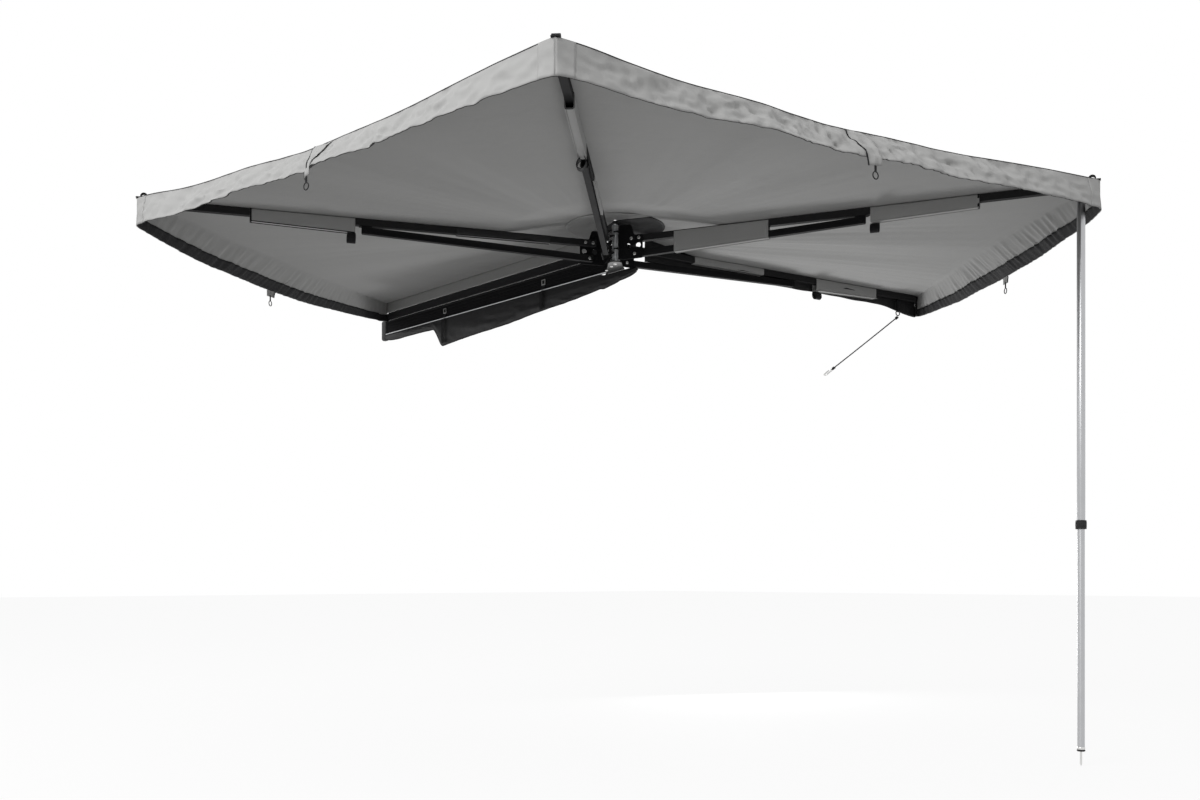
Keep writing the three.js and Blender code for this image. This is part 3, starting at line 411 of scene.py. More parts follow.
def turned(shape, axis, place):
    """A shape made about Z, turned to an axis and moved to its place."""
    turn = np.array(Vector(axis).to_track_quat("Z", "Y").to_matrix())
    return np.asarray(shape[0]) @ turn.T + np.asarray(place), shape[1]


def rounded_block(low, high, rounding, segments):
    low, high = np.asarray(low, float), np.asarray(high, float)
    work = bmesh.new()
    bmesh.ops.create_cube(work, size=1.0)
    bmesh.ops.scale(work, vec=Vector(high - low), verts=work.verts)
    bmesh.ops.translate(work, vec=Vector((high + low) / 2), verts=work.verts)
    bmesh.ops.bevel(
        work, geom=list(work.edges), offset=rounding, segments=segments, affect="EDGES", profile=0.5
    )
    work.verts.index_update()
    vertices = np.array([tuple(v.co) for v in work.verts])
    faces = [[v.index for v in face.verts] for face in work.faces]
    work.free()
    return vertices, faces


# Shares of a bolt head's radius and height, from its foot to the floor of its socket
HEAD_SHARES = (
    (0, 0), (0.96, 0), (1, 0.12), (0.93, 0.55), (0.72, 0.88), (0.59, 1), (0.5, 0.96), (0.48, 0.45), (0, 0.45),
)
NUT_SHARES = ((0, 0), (0.9, 0), (1, 0.1), (1, -0.1), (0.9, 1), (0.52, 1), (0.5, 1.35), (0, 1.4))


def bolt_head(radius, height):
    """A button head with its socket, standing on Z = 0."""
    return lathe([(radius * r, height * h) for r, h in HEAD_SHARES], 20)


def hex_nut(radius, height):
    """A hexagon nut with its bolt's end, standing on Z = 0."""
    bevel = radius * 0.1
    profile = [(radius * r, height * h) for r, h in NUT_SHARES]
    profile[2] = (radius, bevel)
    profile[3] = (radius, height - bevel)
    return lathe(profile, 6)


def torus(radius, wire, axis, place):
    path = np.pad(circle(radius, 28), ((0, 0), (0, 1)))
    return turned(sweep(path, circle(wire, 10), closed=True), axis, place)


def wrinkle(points, stretch, seed):
    """Smooth noise at points, stretched along each axis, from -1 to 1."""
    points = np.asarray(points, float)
    flat = points.reshape(-1, points.shape[-1]) * np.asarray(stretch)
    shift = Vector((seed, 1.7 * seed, -0.6 * seed))
    values = [noise.noise(Vector(p) + shift) for p in flat]
    return np.array(values).reshape(points.shape[:-1])


def ease(x):
    x = np.clip(x, 0.0, 1.0)
    return x * x * (3 - 2 * x)


# Materials

def feed(tree, socket, value):
    if isinstance(value, bpy.types.NodeSocket):
        tree.links.new(value, socket)
    else:
        socket.default_value = value


def add_node(tree, kind, options=None, **inputs):
    node = tree.nodes.new(kind)
    for key, value in (options or {}).items():
        setattr(node, key, value)
    for key, value in inputs.items():
        feed(tree, node.inputs[key.replace("_", " ")], value)
    return node


def calculated(tree, operation, *values):
    node = add_node(tree, "ShaderNodeMath", {"operation": operation})
    for socket, value in zip(node.inputs, values):
        feed(tree, socket, value)
    return node.outputs["Value"]


def mixed(tree, factor, first, second):
    """A mix of two colours."""
    mix = add_node(tree, "ShaderNodeMix", {"data_type": "RGBA"}, Factor=factor)
    for socket, tone in zip([s for s in mix.inputs if s.type == "RGBA"], (first, second)):
        feed(tree, socket, tone)
    return [s for s in mix.outputs if s.type == "RGBA"][0]


def stretched_coordinates(tree, stretch):
    place = add_node(tree, "ShaderNodeTexCoord")
    mapping = add_node(tree, "ShaderNodeMapping", Vector=place.outputs["Object"], Scale=stretch)
    return mapping.outputs["Vector"]


def mottle(tree, shader, tone, spread, size, roughness, roughness_spread):
    """Uneven colour and roughness, in patches of the given size."""
    vector = stretched_coordinates(tree, EVEN)
    patches = add_node(tree, "ShaderNodeTexNoise", Vector=vector, Scale=1 / size, Detail=5.0, Roughness=0.6)
    dark = (*[max(c * (1 - spread), 0) for c in tone], 1)
    pale = (*[min(c * (1 + spread), 1) for c in tone], 1)
    tree.links.new(mixed(tree, patches.outputs["Fac"], dark, pale), shader.inputs["Base Color"])
    rough = add_node(
        tree, "ShaderNodeMapRange", Value=patches.outputs["Fac"],
        To_Min=roughness - roughness_spread, To_Max=roughness + roughness_spread,
    )
    tree.links.new(rough.outputs["Result"], shader.inputs["Roughness"])


def weave_height(tree, pitch, stretch):
    """Plain weave: two sets of threads at right angles."""
    vector = stretched_coordinates(tree, stretch)
    scale = math.pi / (10 * pitch)
    threads = [
        add_node(
            tree, "ShaderNodeTexWave", {"bands_direction": way},
            Vector=vector, Scale=scale, Distortion=0.6,
        )
        for way in "XY"
    ]
    return calculated(tree, "MAXIMUM", *[wave.outputs["Fac"] for wave in threads])


def grain_height(tree, size, stretch, detail=3.0):
    vector = stretched_coordinates(tree, stretch)
    grain = add_node(tree, "ShaderNodeTexNoise", Vector=vector, Scale=1 / size, Detail=detail)
    return grain.outputs["Fac"]


def new_material(name, tone, roughness, metallic=0.0):
    finish = bpy.data.materials.new(name)
    finish.use_nodes = True
    finish.diffuse_color = (*tone, 1)
    shader = finish.node_tree.nodes["Principled BSDF"]
    shader.inputs["Metallic"].default_value = metallic
    shader.inputs["Roughness"].default_value = roughness
    return finish, finish.node_tree, shader


def seen_rays(tree):
    """One for rays that show a surface, straight or in a reflection, and zero for those that light others."""
    rays = add_node(tree, "ShaderNodeLightPath").outputs
    glossy = calculated(tree, "MAXIMUM", rays["Is Camera Ray"], rays["Is Glossy Ray"])
    return calculated(tree, "MAXIMUM", glossy, rays["Is Transmission Ray"])


def wear_edges(tree, shader, worn, amount):
    """Lighter metal where edges rub, from the surface's own curvature."""
    geometry = add_node(tree, "ShaderNodeNewGeometry")
    edge = add_node(
        tree, "ShaderNodeMapRange", Value=geometry.outputs["Pointiness"],
        From_Min=0.53, From_Max=0.62, To_Max=amount,
    )
    base = shader.inputs["Base Color"].links[0].from_socket
    mix = mixed(tree, edge.outputs["Result"], base, (worn, worn, worn, 1))
    tree.links.new(mix, shader.inputs["Base Color"])


def bare_knuckles(tree, shader):
    """Bare metal on the knuckles around the post, and powder coat beyond them."""
    place = add_node(tree, "ShaderNodeTexCoord")
    from_post = add_node(
        tree, "ShaderNodeMapping", Vector=place.outputs["Object"], Scale=(1, 1, 0),
        Location=(-POST[0], -POST[1], 0),
    )
    vector = from_post.outputs["Vector"]
    reach = add_node(tree, "ShaderNodeVectorMath", {"operation": "LENGTH"}, Vector=vector)
    knuckle = calculated(tree, "LESS_THAN", reach.outputs["Value"], KNUCKLE_RADIUS)
    base = shader.inputs["Base Color"].links[0].from_socket
    bright = (*settings("colours").silver_metal, 1)
    tree.links.new(mixed(tree, knuckle, base, bright), shader.inputs["Base Color"])
    tree.links.new(knuckle, shader.inputs["Metallic"])


KNUCKLE_RADIUS = 12.8 * MM
EVEN = (1, 1, 1)
DRAWN = (1, 1, 0.04)

# Finishes: mottle is the spread of the tone, the patches' size, the roughness and its spread; each height is
# its kind, size, stretch and depth, with the noise's detail last; worn is the tone and amount of rubbed edges
CANVAS = {
    "tone": "canvas", "roughness": 0.82, "mottle": (0.07, 0.22, 0.8, 0.08), "bump": 0.6,
    "sockets": {"Sheen Weight": 0.12, "Sheen Roughness": 0.5},
    "heights": (
        ("grain", 0.05, EVEN, 0.0026, 6.0), ("grain", 0.014, EVEN, 0.0007, 2.0),
        ("weave", 0.0011, EVEN, 0.00012),
    ),
}
COATED = {
    "tone": "coated_cloth", "roughness": 0.48, "mottle": (0.25, 0.09, 0.47, 0.1), "bump": 0.6,
    "sockets": {"Specular IOR Level": 0.3},
    "heights": (("grain", 0.045, EVEN, 0.003, 5.0), ("weave", 0.0009, EVEN, 0.0001)),
}
POWDER_COAT = {
    "tone": "black_metal", "roughness": 0.6, "mottle": (0.2, 0.12, 0.6, 0.07), "bump": 0.5,
    "sockets": {"Specular IOR Level": 0.03}, "worn": (0.09, 0.6),
    "heights": (("grain", 0.0016, EVEN, 0.00012),),
}
ALUMINIUM = {
    "tone": "silver_metal", "roughness": 0.33, "metallic": 1.0, "mottle": (0.08, 0.06, 0.34, 0.07),
    "bump": 0.5, "heights": (("grain", 0.0012, DRAWN, 0.00008),),
}
FINISHES = {
    "grey_canvas": CANVAS,
    "sleeve_canvas": {**CANVAS, "tone": "sleeve"},
    "black_coated_cloth": COATED,
    "hood_cloth": {**COATED, "sockets": {"Specular IOR Level": 0.03}},
    "black_webbing": {
        "tone": "webbing", "roughness": 0.8, "mottle": (0.3, 0.03, 0.78, 0.1), "bump": 0.8,
        "sockets": {"Sheen Weight": 0.04, "Specular IOR Level": 0.25},
        "heights": (("weave", 0.0016, (1, 1, 0.6), 0.0003),),
    },
    "black_rope": {
        "tone": "rope", "roughness": 0.75, "mottle": (0.35, 0.01, 0.75, 0.1), "bump": 0.8,
        "heights": (("grain", 0.0012, EVEN, 0.0003),),
    },
    "black_metal": POWDER_COAT,
    "leaf": POWDER_COAT,
    "silver_metal": ALUMINIUM,
    # The pole's aluminium in a darker tone: painted shade against its bright reflection
    "pole_metal": {**ALUMINIUM, "tone": "pole_metal"},
    "black_plastic": {
        "tone": "black_plastic", "roughness": 0.5, "mottle": (0.18, 0.05, 0.5, 0.06), "bump": 0.7,
        "sockets": {"Specular IOR Level": 0.25}, "worn": (0.07, 0.4),
        "heights": (("grain", 0.0009, EVEN, 0.00012),),
    },
    "cast_metal": {
        "tone": "cast_metal", "roughness": 0.5, "metallic": 0.55, "mottle": (0.4, 0.009, 0.5, 0.12),
        "bump": 0.8, "heights": (("grain", 0.004, EVEN, 0.0007), ("grain", 0.0012, EVEN, 0.0002)),
    },
    "zinc": {
        "tone": "zinc", "roughness": 0.3, "metallic": 1.0, "mottle": (0.15, 0.012, 0.32, 0.1), "bump": 0.4,
        "heights": (("grain", 0.002, EVEN, 0.0001),),
    },
}
HEIGHTS = {"grain": grain_height, "weave": weave_height}


@functools.cache
def material(name):
    """A finish, made once."""
    plan = FINISHES[name]
    tone = getattr(settings("colours"), plan["tone"])[:]
    finish, tree, shader = new_material(name, tone, plan["roughness"], plan.get("metallic", 0.0))
    mottle(tree, shader, tone, *plan["mottle"])
    for socket, value in plan.get("sockets", {}).items():
        shader.inputs[socket].default_value = value
    if "worn" in plan:
        wear_edges(tree, shader, *plan["worn"])
    if name == "leaf":
        bare_knuckles(tree, shader)
    normal = None
    for kind, size, stretch, depth, *detail in plan["heights"]:
        height = HEIGHTS[kind](tree, size, stretch, *detail)
        bump = add_node(tree, "ShaderNodeBump", Strength=plan["bump"], Distance=depth, Height=height)
        if normal is not None:
            tree.links.new(normal, bump.inputs["Normal"])
        normal = bump.outputs["Normal"]
    tree.links.new(normal, shader.inputs["Normal"])
    return finish


WELD_DISTANCE = 0.01 * MM
EDGE_ANGLE = math.radians(38)


def dress_node(name, finish):
    """Gives a CAD node its finish and small rounded edges."""
    obj = frame["nodes"][name]
    obj.data.materials.clear()
    obj.data.materials.append(material(finish))
    weld = obj.modifiers.new("weld", "WELD")
    weld.merge_threshold = WELD_DISTANCE
    bevel = obj.modifiers.new("edges", "BEVEL")
    bevel.width = settings("hardware").edge
    bevel.segments = 2
    bevel.limit_method = "ANGLE"
    bevel.angle_limit = EDGE_ANGLE
    bevel.harden_normals = True


# Places read from the frame

def node_points(name):
    return np.array([v.co for v in frame["nodes"][name].data.vertices], float).reshape(-1, 3)


class ArmLine:
    """One rafter's line: where it is, which way it points and which side is clockwise."""

    def __init__(self, number):
        self.body = f"arm_{number}"
        points = node_points(f"rafter_{number}")
        low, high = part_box(f"rafter_{number}")
        middle = (np.array(low) + np.array(high)) / 2
        ahead = (points - middle) @ ((middle - POST) * LEVEL)
        out = (points[ahead > 0].mean(axis=0) - points[ahead < 0].mean(axis=0)) * LEVEL
        self.out = out / np.linalg.norm(out)
        self.clockwise = np.array([self.out[1], -self.out[0], 0.0])
        self.side = float((middle - POST) @ self.clockwise)
        self.middle_z = float(middle[2])
        self.half = float(high[2] - low[2]) / 2
        self.start = float(((points - POST) @ self.out).min())

    def at(self, reach, side=0.0, height=0.0):
        """A point at a reach along the rafter, beside its middle and above it."""
        place = POST + reach * self.out + (self.side + side) * self.clockwise
        place[2] = self.middle_z + height
        return place

    def along(self, name):
        """Reach, side and height of each point of a node."""
        points = node_points(name)
        return np.stack([
            (points - POST) @ self.out,
            (points - POST) @ self.clockwise - self.side,
            points[:, 2] - self.middle_z,
        ], axis=1)


@functools.cache
def arm(number):
    return ArmLine(number)


# Canopy

SHEET_LIFT = 1.6 * MM
CHANNEL_END_GAP = 7 * MM
FACE_GAP = 0.3 * MM
EDGE_BEHIND = 2 * MM
FREE_POWER = 1.5
ROW_POWER = 1.1
PIPING_SHARES = (0.4, 0.5)
FOLD_COUNT = 6
WAVE_COUNT = 8

# Creases in the gores: stretch across and outwards, seed and share of the crease height
LONG_CREASES = ((26, 1.6, 1), 3.1, 0.75)
CROSS_CREASES = ((3.5, 17, 1), 9.4, 0.9)
BROAD_CREASES = ((5, 3.0, 1), 14.8, 0.8)
CORNER_FAN = ((40, 0.8, 1), 27.0 - LAST, 1.6)
CHANNEL_PUCKERS = ((9, 34, 1), 21.0 - 1, 2)
CROSS_REACH = 0.13
PUCKER_START = 25 * MM
PUCKER_REACH = 90 * MM
PUCKER_RADIUS = 0.5
NEAR_SAG_SPOT = 0.15
NEAR_SAG_REACH = 0.1
NEAR_SAG_START = 12
FAN_REACH = 0.28
FAN_START = (2, 0.6)
FAN_END = 30

# Crumples of the near hanging edges, then pleats of the others: stretch, seed and share of their depth
BROAD_CRUMPLES = ((15, 18, 1), 31.0, 1.0)
SHARP_FOLDS = ((26, 34, 1), 37.0, 0.6)
FINE_CRUMPLES = ((48, 48, 1), 47.0, 0.35)
UPRIGHT_PLEATS = ((42, 4, 1), 31.0, 1.5)
FINE_PLEATS = ((75, 22, 1), 47.0, 0.7)
FOLD_TOP = 0.4
FOLD_DEPTH = 2.0
CRUMPLE_START = 0.08
CRUMPLE_LENGTH = 0.74
CRUMPLE_POWER = 0.3
EDGE_SLACK = 0.6 * MM


def creases(spots, kind, number):
    stretch, seed, _ = kind
    return wrinkle(spots, stretch, seed + number)


def channel_face():
    """X of the channel's face, and its ends along Y."""
    low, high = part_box("back_channel")
    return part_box("keder_strip")[1][0] + FACE_GAP, low[1], high[1]


def sheet_level():
    """Middle of the canvas over the rafters, above the rafter's middle."""
    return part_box("sleeve_outer_1")[1][2] + SHEET_LIFT - POST[2]


def gore_span(number):
    return math.radians(GORE_SPANS[number - 1])


def gore_width(number):
    return 2 * settings("canopy").reach * math.sin(gore_span(number) / 2)


def edge_of(number, out):
    """Points of a gore's edge over rafter `number`, or along the channel for 0, relative to the post."""
    sizes = settings("canopy")
    out = np.asarray(out, float)
    if number == 0:
        face, y_start, y_end = channel_face()
        start = y_start - POST[1]
        end = y_end - POST[1] - CHANNEL_END_GAP
        y = start + out * (end - start)
        rise = ease((y - start) / (sizes.cone_radius - start))
        level = sheet_level() + rise * (sizes.channel_rise - sheet_level())
        return np.stack([np.full_like(y, face - EDGE_BEHIND - POST[0]), y, level], axis=-1)
    number, shift = abs(number), math.copysign(sizes.seam_gap, number)
    line = arm(number)
    side = line.side + shift
    start = math.sqrt(sizes.hole_radius ** 2 - side ** 2)
    end = math.sqrt(sizes.reach ** 2 - side ** 2)
    points = side * line.clockwise + (start + out * (end - start))[..., None] * line.out
    points[..., 2] = sheet_level()
    return points


def gore_points(number, across, out):
    """The canvas of a gore at shares across it and outwards, relative to the post."""
    sizes = settings("canopy")
    across, out = np.broadcast_arrays(np.asarray(across, float), np.asarray(out, float))
    first = edge_of(0 if number == 1 else -(number - 1), out)
    second = edge_of(number, out)
    from_radius = np.hypot(first[..., 0], first[..., 1])
    to_radius = np.hypot(second[..., 0], second[..., 1])
    from_turn = np.arctan2(-first[..., 0], first[..., 1])
    to_turn = np.arctan2(-second[..., 0], second[..., 1])
    to_turn = np.where(to_turn < from_turn, to_turn + 2 * math.pi, to_turn)
    turn = from_turn + across * (to_turn - from_turn)
    arc = from_radius + across * (to_radius - from_radius)
    chord = from_radius * to_radius * np.sin(to_turn - from_turn) / (
        from_radius * np.sin(turn - from_turn) + to_radius * np.sin(to_turn - turn)
    )
    hollow = np.maximum(0, np.sin(math.pi * across)) ** sizes.hollow_power
    radius = arc + out * (chord - arc) - sizes.edge_bow * hollow * out ** 2
    level = first[..., 2] + across * (second[..., 2] - first[..., 2])
    cone = sizes.apex_rise * np.maximum(0, 1 - radius / sizes.cone_radius)
    free = np.clip((radius - sizes.patch_radius) / (sizes.reach - sizes.patch_radius), 0, 1)
    sag = sizes.edge_sags[number - 1] * hollow * free ** FREE_POWER
    fold = sizes.fold * hollow * np.sin(FOLD_COUNT * math.pi * across) * np.sin(math.pi * free)
    height = level + cone - sag - fold + gore_creases(number, across, radius, free)
    return np.stack([-radius * np.sin(turn), radius * np.cos(turn), height], axis=-1)


def gore_creases(number, across, radius, free):
    """Creases outwards, across near the seams and along the channel, and a corner's fan."""
    sizes = settings("canopy")
    inside = np.maximum(0, np.sin(math.pi * across)) ** 0.5
    seam = np.minimum(across, 1 - across)
    spots = np.stack([across, radius, 0 * radius], axis=-1)
    long = creases(spots, LONG_CREASES, number) * np.sin(math.pi * free)
    cross = creases(spots, CROSS_CREASES, number) * np.exp(-(seam / CROSS_REACH) ** 2)
    broad = creases(spots, BROAD_CREASES, number)
    depth = LONG_CREASES[2] * long + CROSS_CREASES[2] * cross + BROAD_CREASES[2] * broad
    height = sizes.crease * inside * depth
    if number == 1:
        from_channel = radius * np.sin(across * gore_span(1))
        near = ease(from_channel / PUCKER_START) * np.exp(-from_channel / PUCKER_REACH)
        puckers = creases(spots, CHANNEL_PUCKERS, number) * near * ease(radius / PUCKER_RADIUS)
        height = height + sizes.channel_pucker * CHANNEL_PUCKERS[2] * puckers
    if number in NEAR_GORES:
        beside = np.exp(-((across - NEAR_SAG_SPOT) / NEAR_SAG_REACH) ** 2) * ease(across * NEAR_SAG_START)
        height = height - sizes.near_sag * beside * free ** FREE_POWER
    if number == LAST:
        fan = creases(spots, CORNER_FAN, number) * np.exp(-((1 - across) / FAN_REACH) ** 2)
        fan = fan * ease(free * FAN_START[0] - FAN_START[1]) * ease((1 - across) * free * FAN_END)
        height = height + sizes.crease * CORNER_FAN[2] * fan * inside
    return height


def crumples(number, across, down):
    """How far the hanging edge stands in and out: crumples on the near sides, pleats on the others."""
    sizes = settings("canopy")
    spots = np.stack([across * gore_width(number), down * sizes.valance, 0 * down], axis=-1)
    if number in NEAR_GORES:
        broad = creases(spots, BROAD_CRUMPLES, number)
        folds = FOLD_TOP - np.abs(creases(spots, SHARP_FOLDS, number)) * FOLD_DEPTH
        fine = creases(spots, FINE_CRUMPLES, number)
        depth = BROAD_CRUMPLES[2] * broad + SHARP_FOLDS[2] * folds + FINE_CRUMPLES[2] * fine
        return sizes.crumple * depth
    pleats = creases(spots, UPRIGHT_PLEATS, number)
    fine = creases(spots, FINE_PLEATS, number)
    return sizes.pleat * (UPRIGHT_PLEATS[2] * pleats + FINE_PLEATS[2] * fine)


def valance_height(number, across):
    sizes = settings("canopy")
    if number == 1:
        return sizes.valance_front + across * (sizes.valance - sizes.valance_front)
    return sizes.valance


def outward_of(edge):
    outward = edge * LEVEL
    return outward / np.linalg.norm(outward, axis=-1)[..., None]


def valance_points(number, across, down, inset=0.0):
    """The hanging edge at shares across and downwards, pushed inwards by an inset."""
    sizes = settings("canopy")
    across, down = np.broadcast_arrays(np.asarray(across, float), np.asarray(down, float))
    edge = gore_points(number, across, np.ones_like(across))
    middle = np.maximum(0, np.sin(math.pi * np.clip(across, 0, 1)))
    ripple = middle * np.sin(WAVE_COUNT * math.pi * across)
    flare = sizes.near_flare if number in NEAR_GORES else sizes.flare
    stand = flare * middle ** sizes.flare_power
    shown = np.sin(math.pi * np.clip(CRUMPLE_START + CRUMPLE_LENGTH * down, 0, 1))
    crumple = middle ** CRUMPLE_POWER * crumples(number, across, down) * shown
    push = down * (stand + sizes.wave * ripple) + crumple
    points = edge + outward_of(edge) * (push - inset)[..., None]
    slack = EDGE_SLACK * np.sin(math.pi * down)
    points[..., 2] = edge[..., 2] - down * valance_height(number, across) - slack
    return points


def angular_share(weight):
    """The place along a unit line at which a blend gives this weight."""
    weight = np.clip(weight, 0.0, 1.0)
    return 0.5 - np.sin(np.arcsin(1 - 2 * weight) / 3)


def gore_piece(name, shape, number, shares, slot, thick=0.0, nodes=(), smooth=60, finish=None):
    """A cloth piece over a gore, between its two arms.

    The cloth is laid out along a unit line by its share of the angle about the post while its transform is
    baked, and then gets its real points back. The shares repeat row by row.
    """
    obj = add_mesh(name, shape, material(finish or slot), smooth)
    if nodes:
        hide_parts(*nodes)
    mesh = obj.data
    real = np.zeros(len(mesh.vertices) * 3, np.float32)
    mesh.vertices.foreach_get("co", real)
    flat = np.zeros((len(mesh.vertices), 3), np.float32)
    flat[:, 0] = angular_share(np.resize(shares, len(mesh.vertices)))
    mesh.vertices.foreach_set("co", flat.ravel())
    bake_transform(obj)
    mesh.vertices.foreach_set("co", real)
    mesh.update()
    if thick:
        thicken(obj, thick)
    return obj


class AwningCanopy(bpy.types.Operator):
    """Stretches the four gores of the canopy over the arms, with their hanging edges, hems and piping"""

    bl_idname = "awning.canopy"
    bl_label = "Canopy"

    def execute(self, context):
        sizes = settings("canopy")
        across = np.linspace(0, 1, sizes.columns + 1)
        outs = np.linspace(0, 1, sizes.rows + 1) ** ROW_POWER
        downs = np.linspace(0, 1, sizes.valance_rows + 1)[1:]
        for number in GORES:
            roof = gore_points(number, across, outs[:, None])
            hang = valance_points(number, across, downs[:, None])
            cloth = gore_piece(
                f"canopy_cloth_{number}", sheet_shape(np.concatenate([roof, hang])), number, across,
                "grey_canvas", sizes.cloth, [f"canopy_gore_{number}"],
            )
            wide = gore_width(number)
            self.hem(number, across)
            self.piping(number, across)
        return {"FINISHED"}

    def hem(self, number, across):
        """Black webbing inside the lower end of the hanging edge, on the rows of its mesh."""
        sizes = settings("canopy")
        rows = sizes.valance_rows
        downs = np.arange(round(rows * (1 - sizes.hem / sizes.valance)), rows + 1) / rows
        shape = sheet_shape(valance_points(number, across, downs[:, None], sizes.hem_inset))
        return gore_piece(f"canopy_hem_{number}", shape, number, across, "black_webbing", sizes.hem_thick)

    def piping(self, number, across):
        """Thin dark piping along the edge between the roof and the hanging edge."""
        radius = settings("canopy").piping
        edge = gore_points(number, across, np.ones_like(across))
        out, up = PIPING_SHARES
        path = edge + POST + outward_of(edge) * radius * out + UP * radius * up
        section = circle(radius)
        shares = np.repeat(across, len(section))
        shape = sweep(path, section)
        return gore_piece(f"canopy_piping_{number}", shape, number, shares, "black_webbing", smooth=40)


TAPE_ENDS = (0.06, 0.997)
TAPE_LIFT_SHARE = 1.1
TAPE_SWELL = 0.5 * MM
TAPE_CLOTH = 0.9 * MM
PATCH_CLOTH = 1.1 * MM
PATCH_STAND = 1.3 * MM
PATCH_LIFT_SHARE = 1.2
PATCH_ROOF_START = 0.976
LOOP_HEIGHT = 15 * MM
LOOP_HALF = 12 * MM
LOOP_INSET = 24 * MM
LOOP_FEET = (16 * MM, 26 * MM)
LOOP_LIFTS = (1.4 * MM, 2 * MM)
LOOP_THICK = 2.6 * MM
LOOP_POWER = 0.8
TAB_NARROWS = (0.3, 0.47)
TAB_LEAN = 0.18
TAB_SKEW = 0.2
TAB_POWER = 0.7
TAB_STAND = 2.2 * MM
TAB_SWELL = 6 * MM
TAB_BINDING = 2.2 * MM
LINK_LENGTH = 20 * MM
LINK_TUCK = 6 * MM
LINK_SECTION = (9 * MM, 2.4 * MM)
RING_OVERLAP = 2 * MM


class AwningCanopyTrim(bpy.types.Operator):
    """Sews on the seam tapes, corner patches, corner loops and tie tabs"""

    bl_idname = "awning.canopy_trim"
    bl_label = "Canopy trim"

    def execute(self, context):
        for number in ARMS:
            self.seam_tape(number)
            self.corner_patch(number)
            self.corner_loop(number)
        for number in GORES:
            self.tie_tab(number)
        return {"FINISHED"}

    def seam_tape(self, number):
        """A doubled strip of canvas over the seam above a rafter."""
        sizes = settings("canopy")
        half = sizes.tape / 2
        rows = []
        for out in np.linspace(*TAPE_ENDS, 60):
            reach = sizes.hole_radius + out * (sizes.reach - sizes.hole_radius)
            row = []
            for side in np.linspace(-half, half, 9):
                gore = number if side > 0 or number == LAST else number + 1
                step = abs(side) / reach / gore_span(gore)
                point = gore_points(gore, 1 - step if gore == number else step, out)
                lift = sizes.cloth * TAPE_LIFT_SHARE + TAPE_SWELL * (1 - (side / half) ** 2)
                row.append(point + UP * lift)
            rows.append(row)
        grid = np.array(rows)
        if number == LAST:
            grid = grid[:, 4:]
        shape = sheet_shape(grid)
        add_piece(f"seam_tape_{number}", shape, "grey_canvas", arm(number).body, smooth=60, thick=TAPE_CLOTH)

    def corner_patch(self, number):
        """Reinforcing patches of canvas on both sides of a corner of the hanging edge."""
        sizes = settings("canopy")
        downs = np.linspace(0, 1, 11)[:, None]
        outs = np.linspace(PATCH_ROOF_START, 1, 3)[:, None]
        for gore, word in ((number, "before"), (number + 1, "after")):
            if gore not in GORES:
                continue
            reach = sizes.corner / gore_width(gore)
            across = 1 - np.linspace(reach, 0, 9) if gore == number else np.linspace(0, reach, 9)
            lift = UP * sizes.cloth * PATCH_LIFT_SHARE
            roof = gore_points(gore, across, outs) + lift
            hang = valance_points(gore, across, downs, -PATCH_STAND) + lift * (1 - downs)[..., None]
            shape = sheet_shape(np.concatenate([roof, hang]))
            gore_piece(f"corner_patch_{number}_{word}", shape, gore, across, "grey_canvas", PATCH_CLOTH)

    def corner_loop(self, number):
        """A webbing loop that stands up over the rafter's end."""
        line = arm(number)
        level = sheet_level() + settings("canopy").cloth
        base = settings("canopy").reach - LOOP_INSET
        low, high = LOOP_LIFTS
        path = [line.at(base + LOOP_HALF + LOOP_FEET[0], 0, level + low)]
        for turn in np.linspace(0, math.pi, 17):
            rise = LOOP_HEIGHT * math.sin(turn) ** LOOP_POWER
            path.append(line.at(base + LOOP_HALF * math.cos(turn), 0, level + high + rise))
        path.append(line.at(base - LOOP_HALF - LOOP_FEET[1], 0, level + low))
        shape = ribbon(path, settings("cloth").loop_width, LOOP_THICK, line.clockwise)
        add_piece(f"corner_loop_{number}", shape, "black_webbing", line.body)

    def tie_tab(self, number):
        """A folded flap, link and ring for a guy line, at the middle of each hanging edge."""
        cloth = settings("cloth")
        tall = settings("canopy").valance
        half = cloth.tab_width / 2 / gore_width(number)
        over = cloth.tab_over / tall
        rows = []
        for down in np.linspace(0.0, 1 + over, 12):
            narrow = 1 - TAB_NARROWS[1] * ease((down - TAB_NARROWS[0]) / (1 - TAB_NARROWS[0] + over))
            row = []
            for step in np.linspace(-1, 1, 9):
                across = 0.5 + step * half * narrow + TAB_LEAN * half * down
                swell = ease((step + TAB_SKEW) / (1 + TAB_SKEW))
                swell = swell * math.sin(math.pi * min(down, 1.0)) ** TAB_POWER
                point = valance_points(number, across, min(down, 1.0), -TAB_STAND - TAB_SWELL * swell)
                row.append(point - UP * max(down - 1, 0) * tall)
            rows.append(row)
        grid = np.array(rows)
        tip = grid[-1].mean(axis=0) + POST
        edge = grid[0][-1] - grid[0][0]
        face = np.cross(edge / np.linalg.norm(edge), UP)
        link_end = tip - UP * LINK_LENGTH
        link = np.linspace(tip + UP * LINK_TUCK, link_end, 6)
        hung = functools.partial(gore_piece, number=number, shares=0.5, smooth=40)
        gore_piece(f"tie_flap_{number}", sheet_shape(grid), number, 0.5, "grey_canvas", PATCH_CLOTH)
        binding = sweep(grid[:, 0] + POST, circle(TAB_BINDING))
        hung(f"tie_flap_binding_{number}", binding, slot="black_webbing")
        hung(f"tie_link_{number}", sweep(link, flat_section(*LINK_SECTION), face), slot="black_webbing")
        centre = link_end - UP * (cloth.ring_radius - RING_OVERLAP)
        ring = torus(cloth.ring_radius, cloth.ring_wire, face, centre)
        hung(f"tie_ring_{number}", ring, slot="black_plastic")


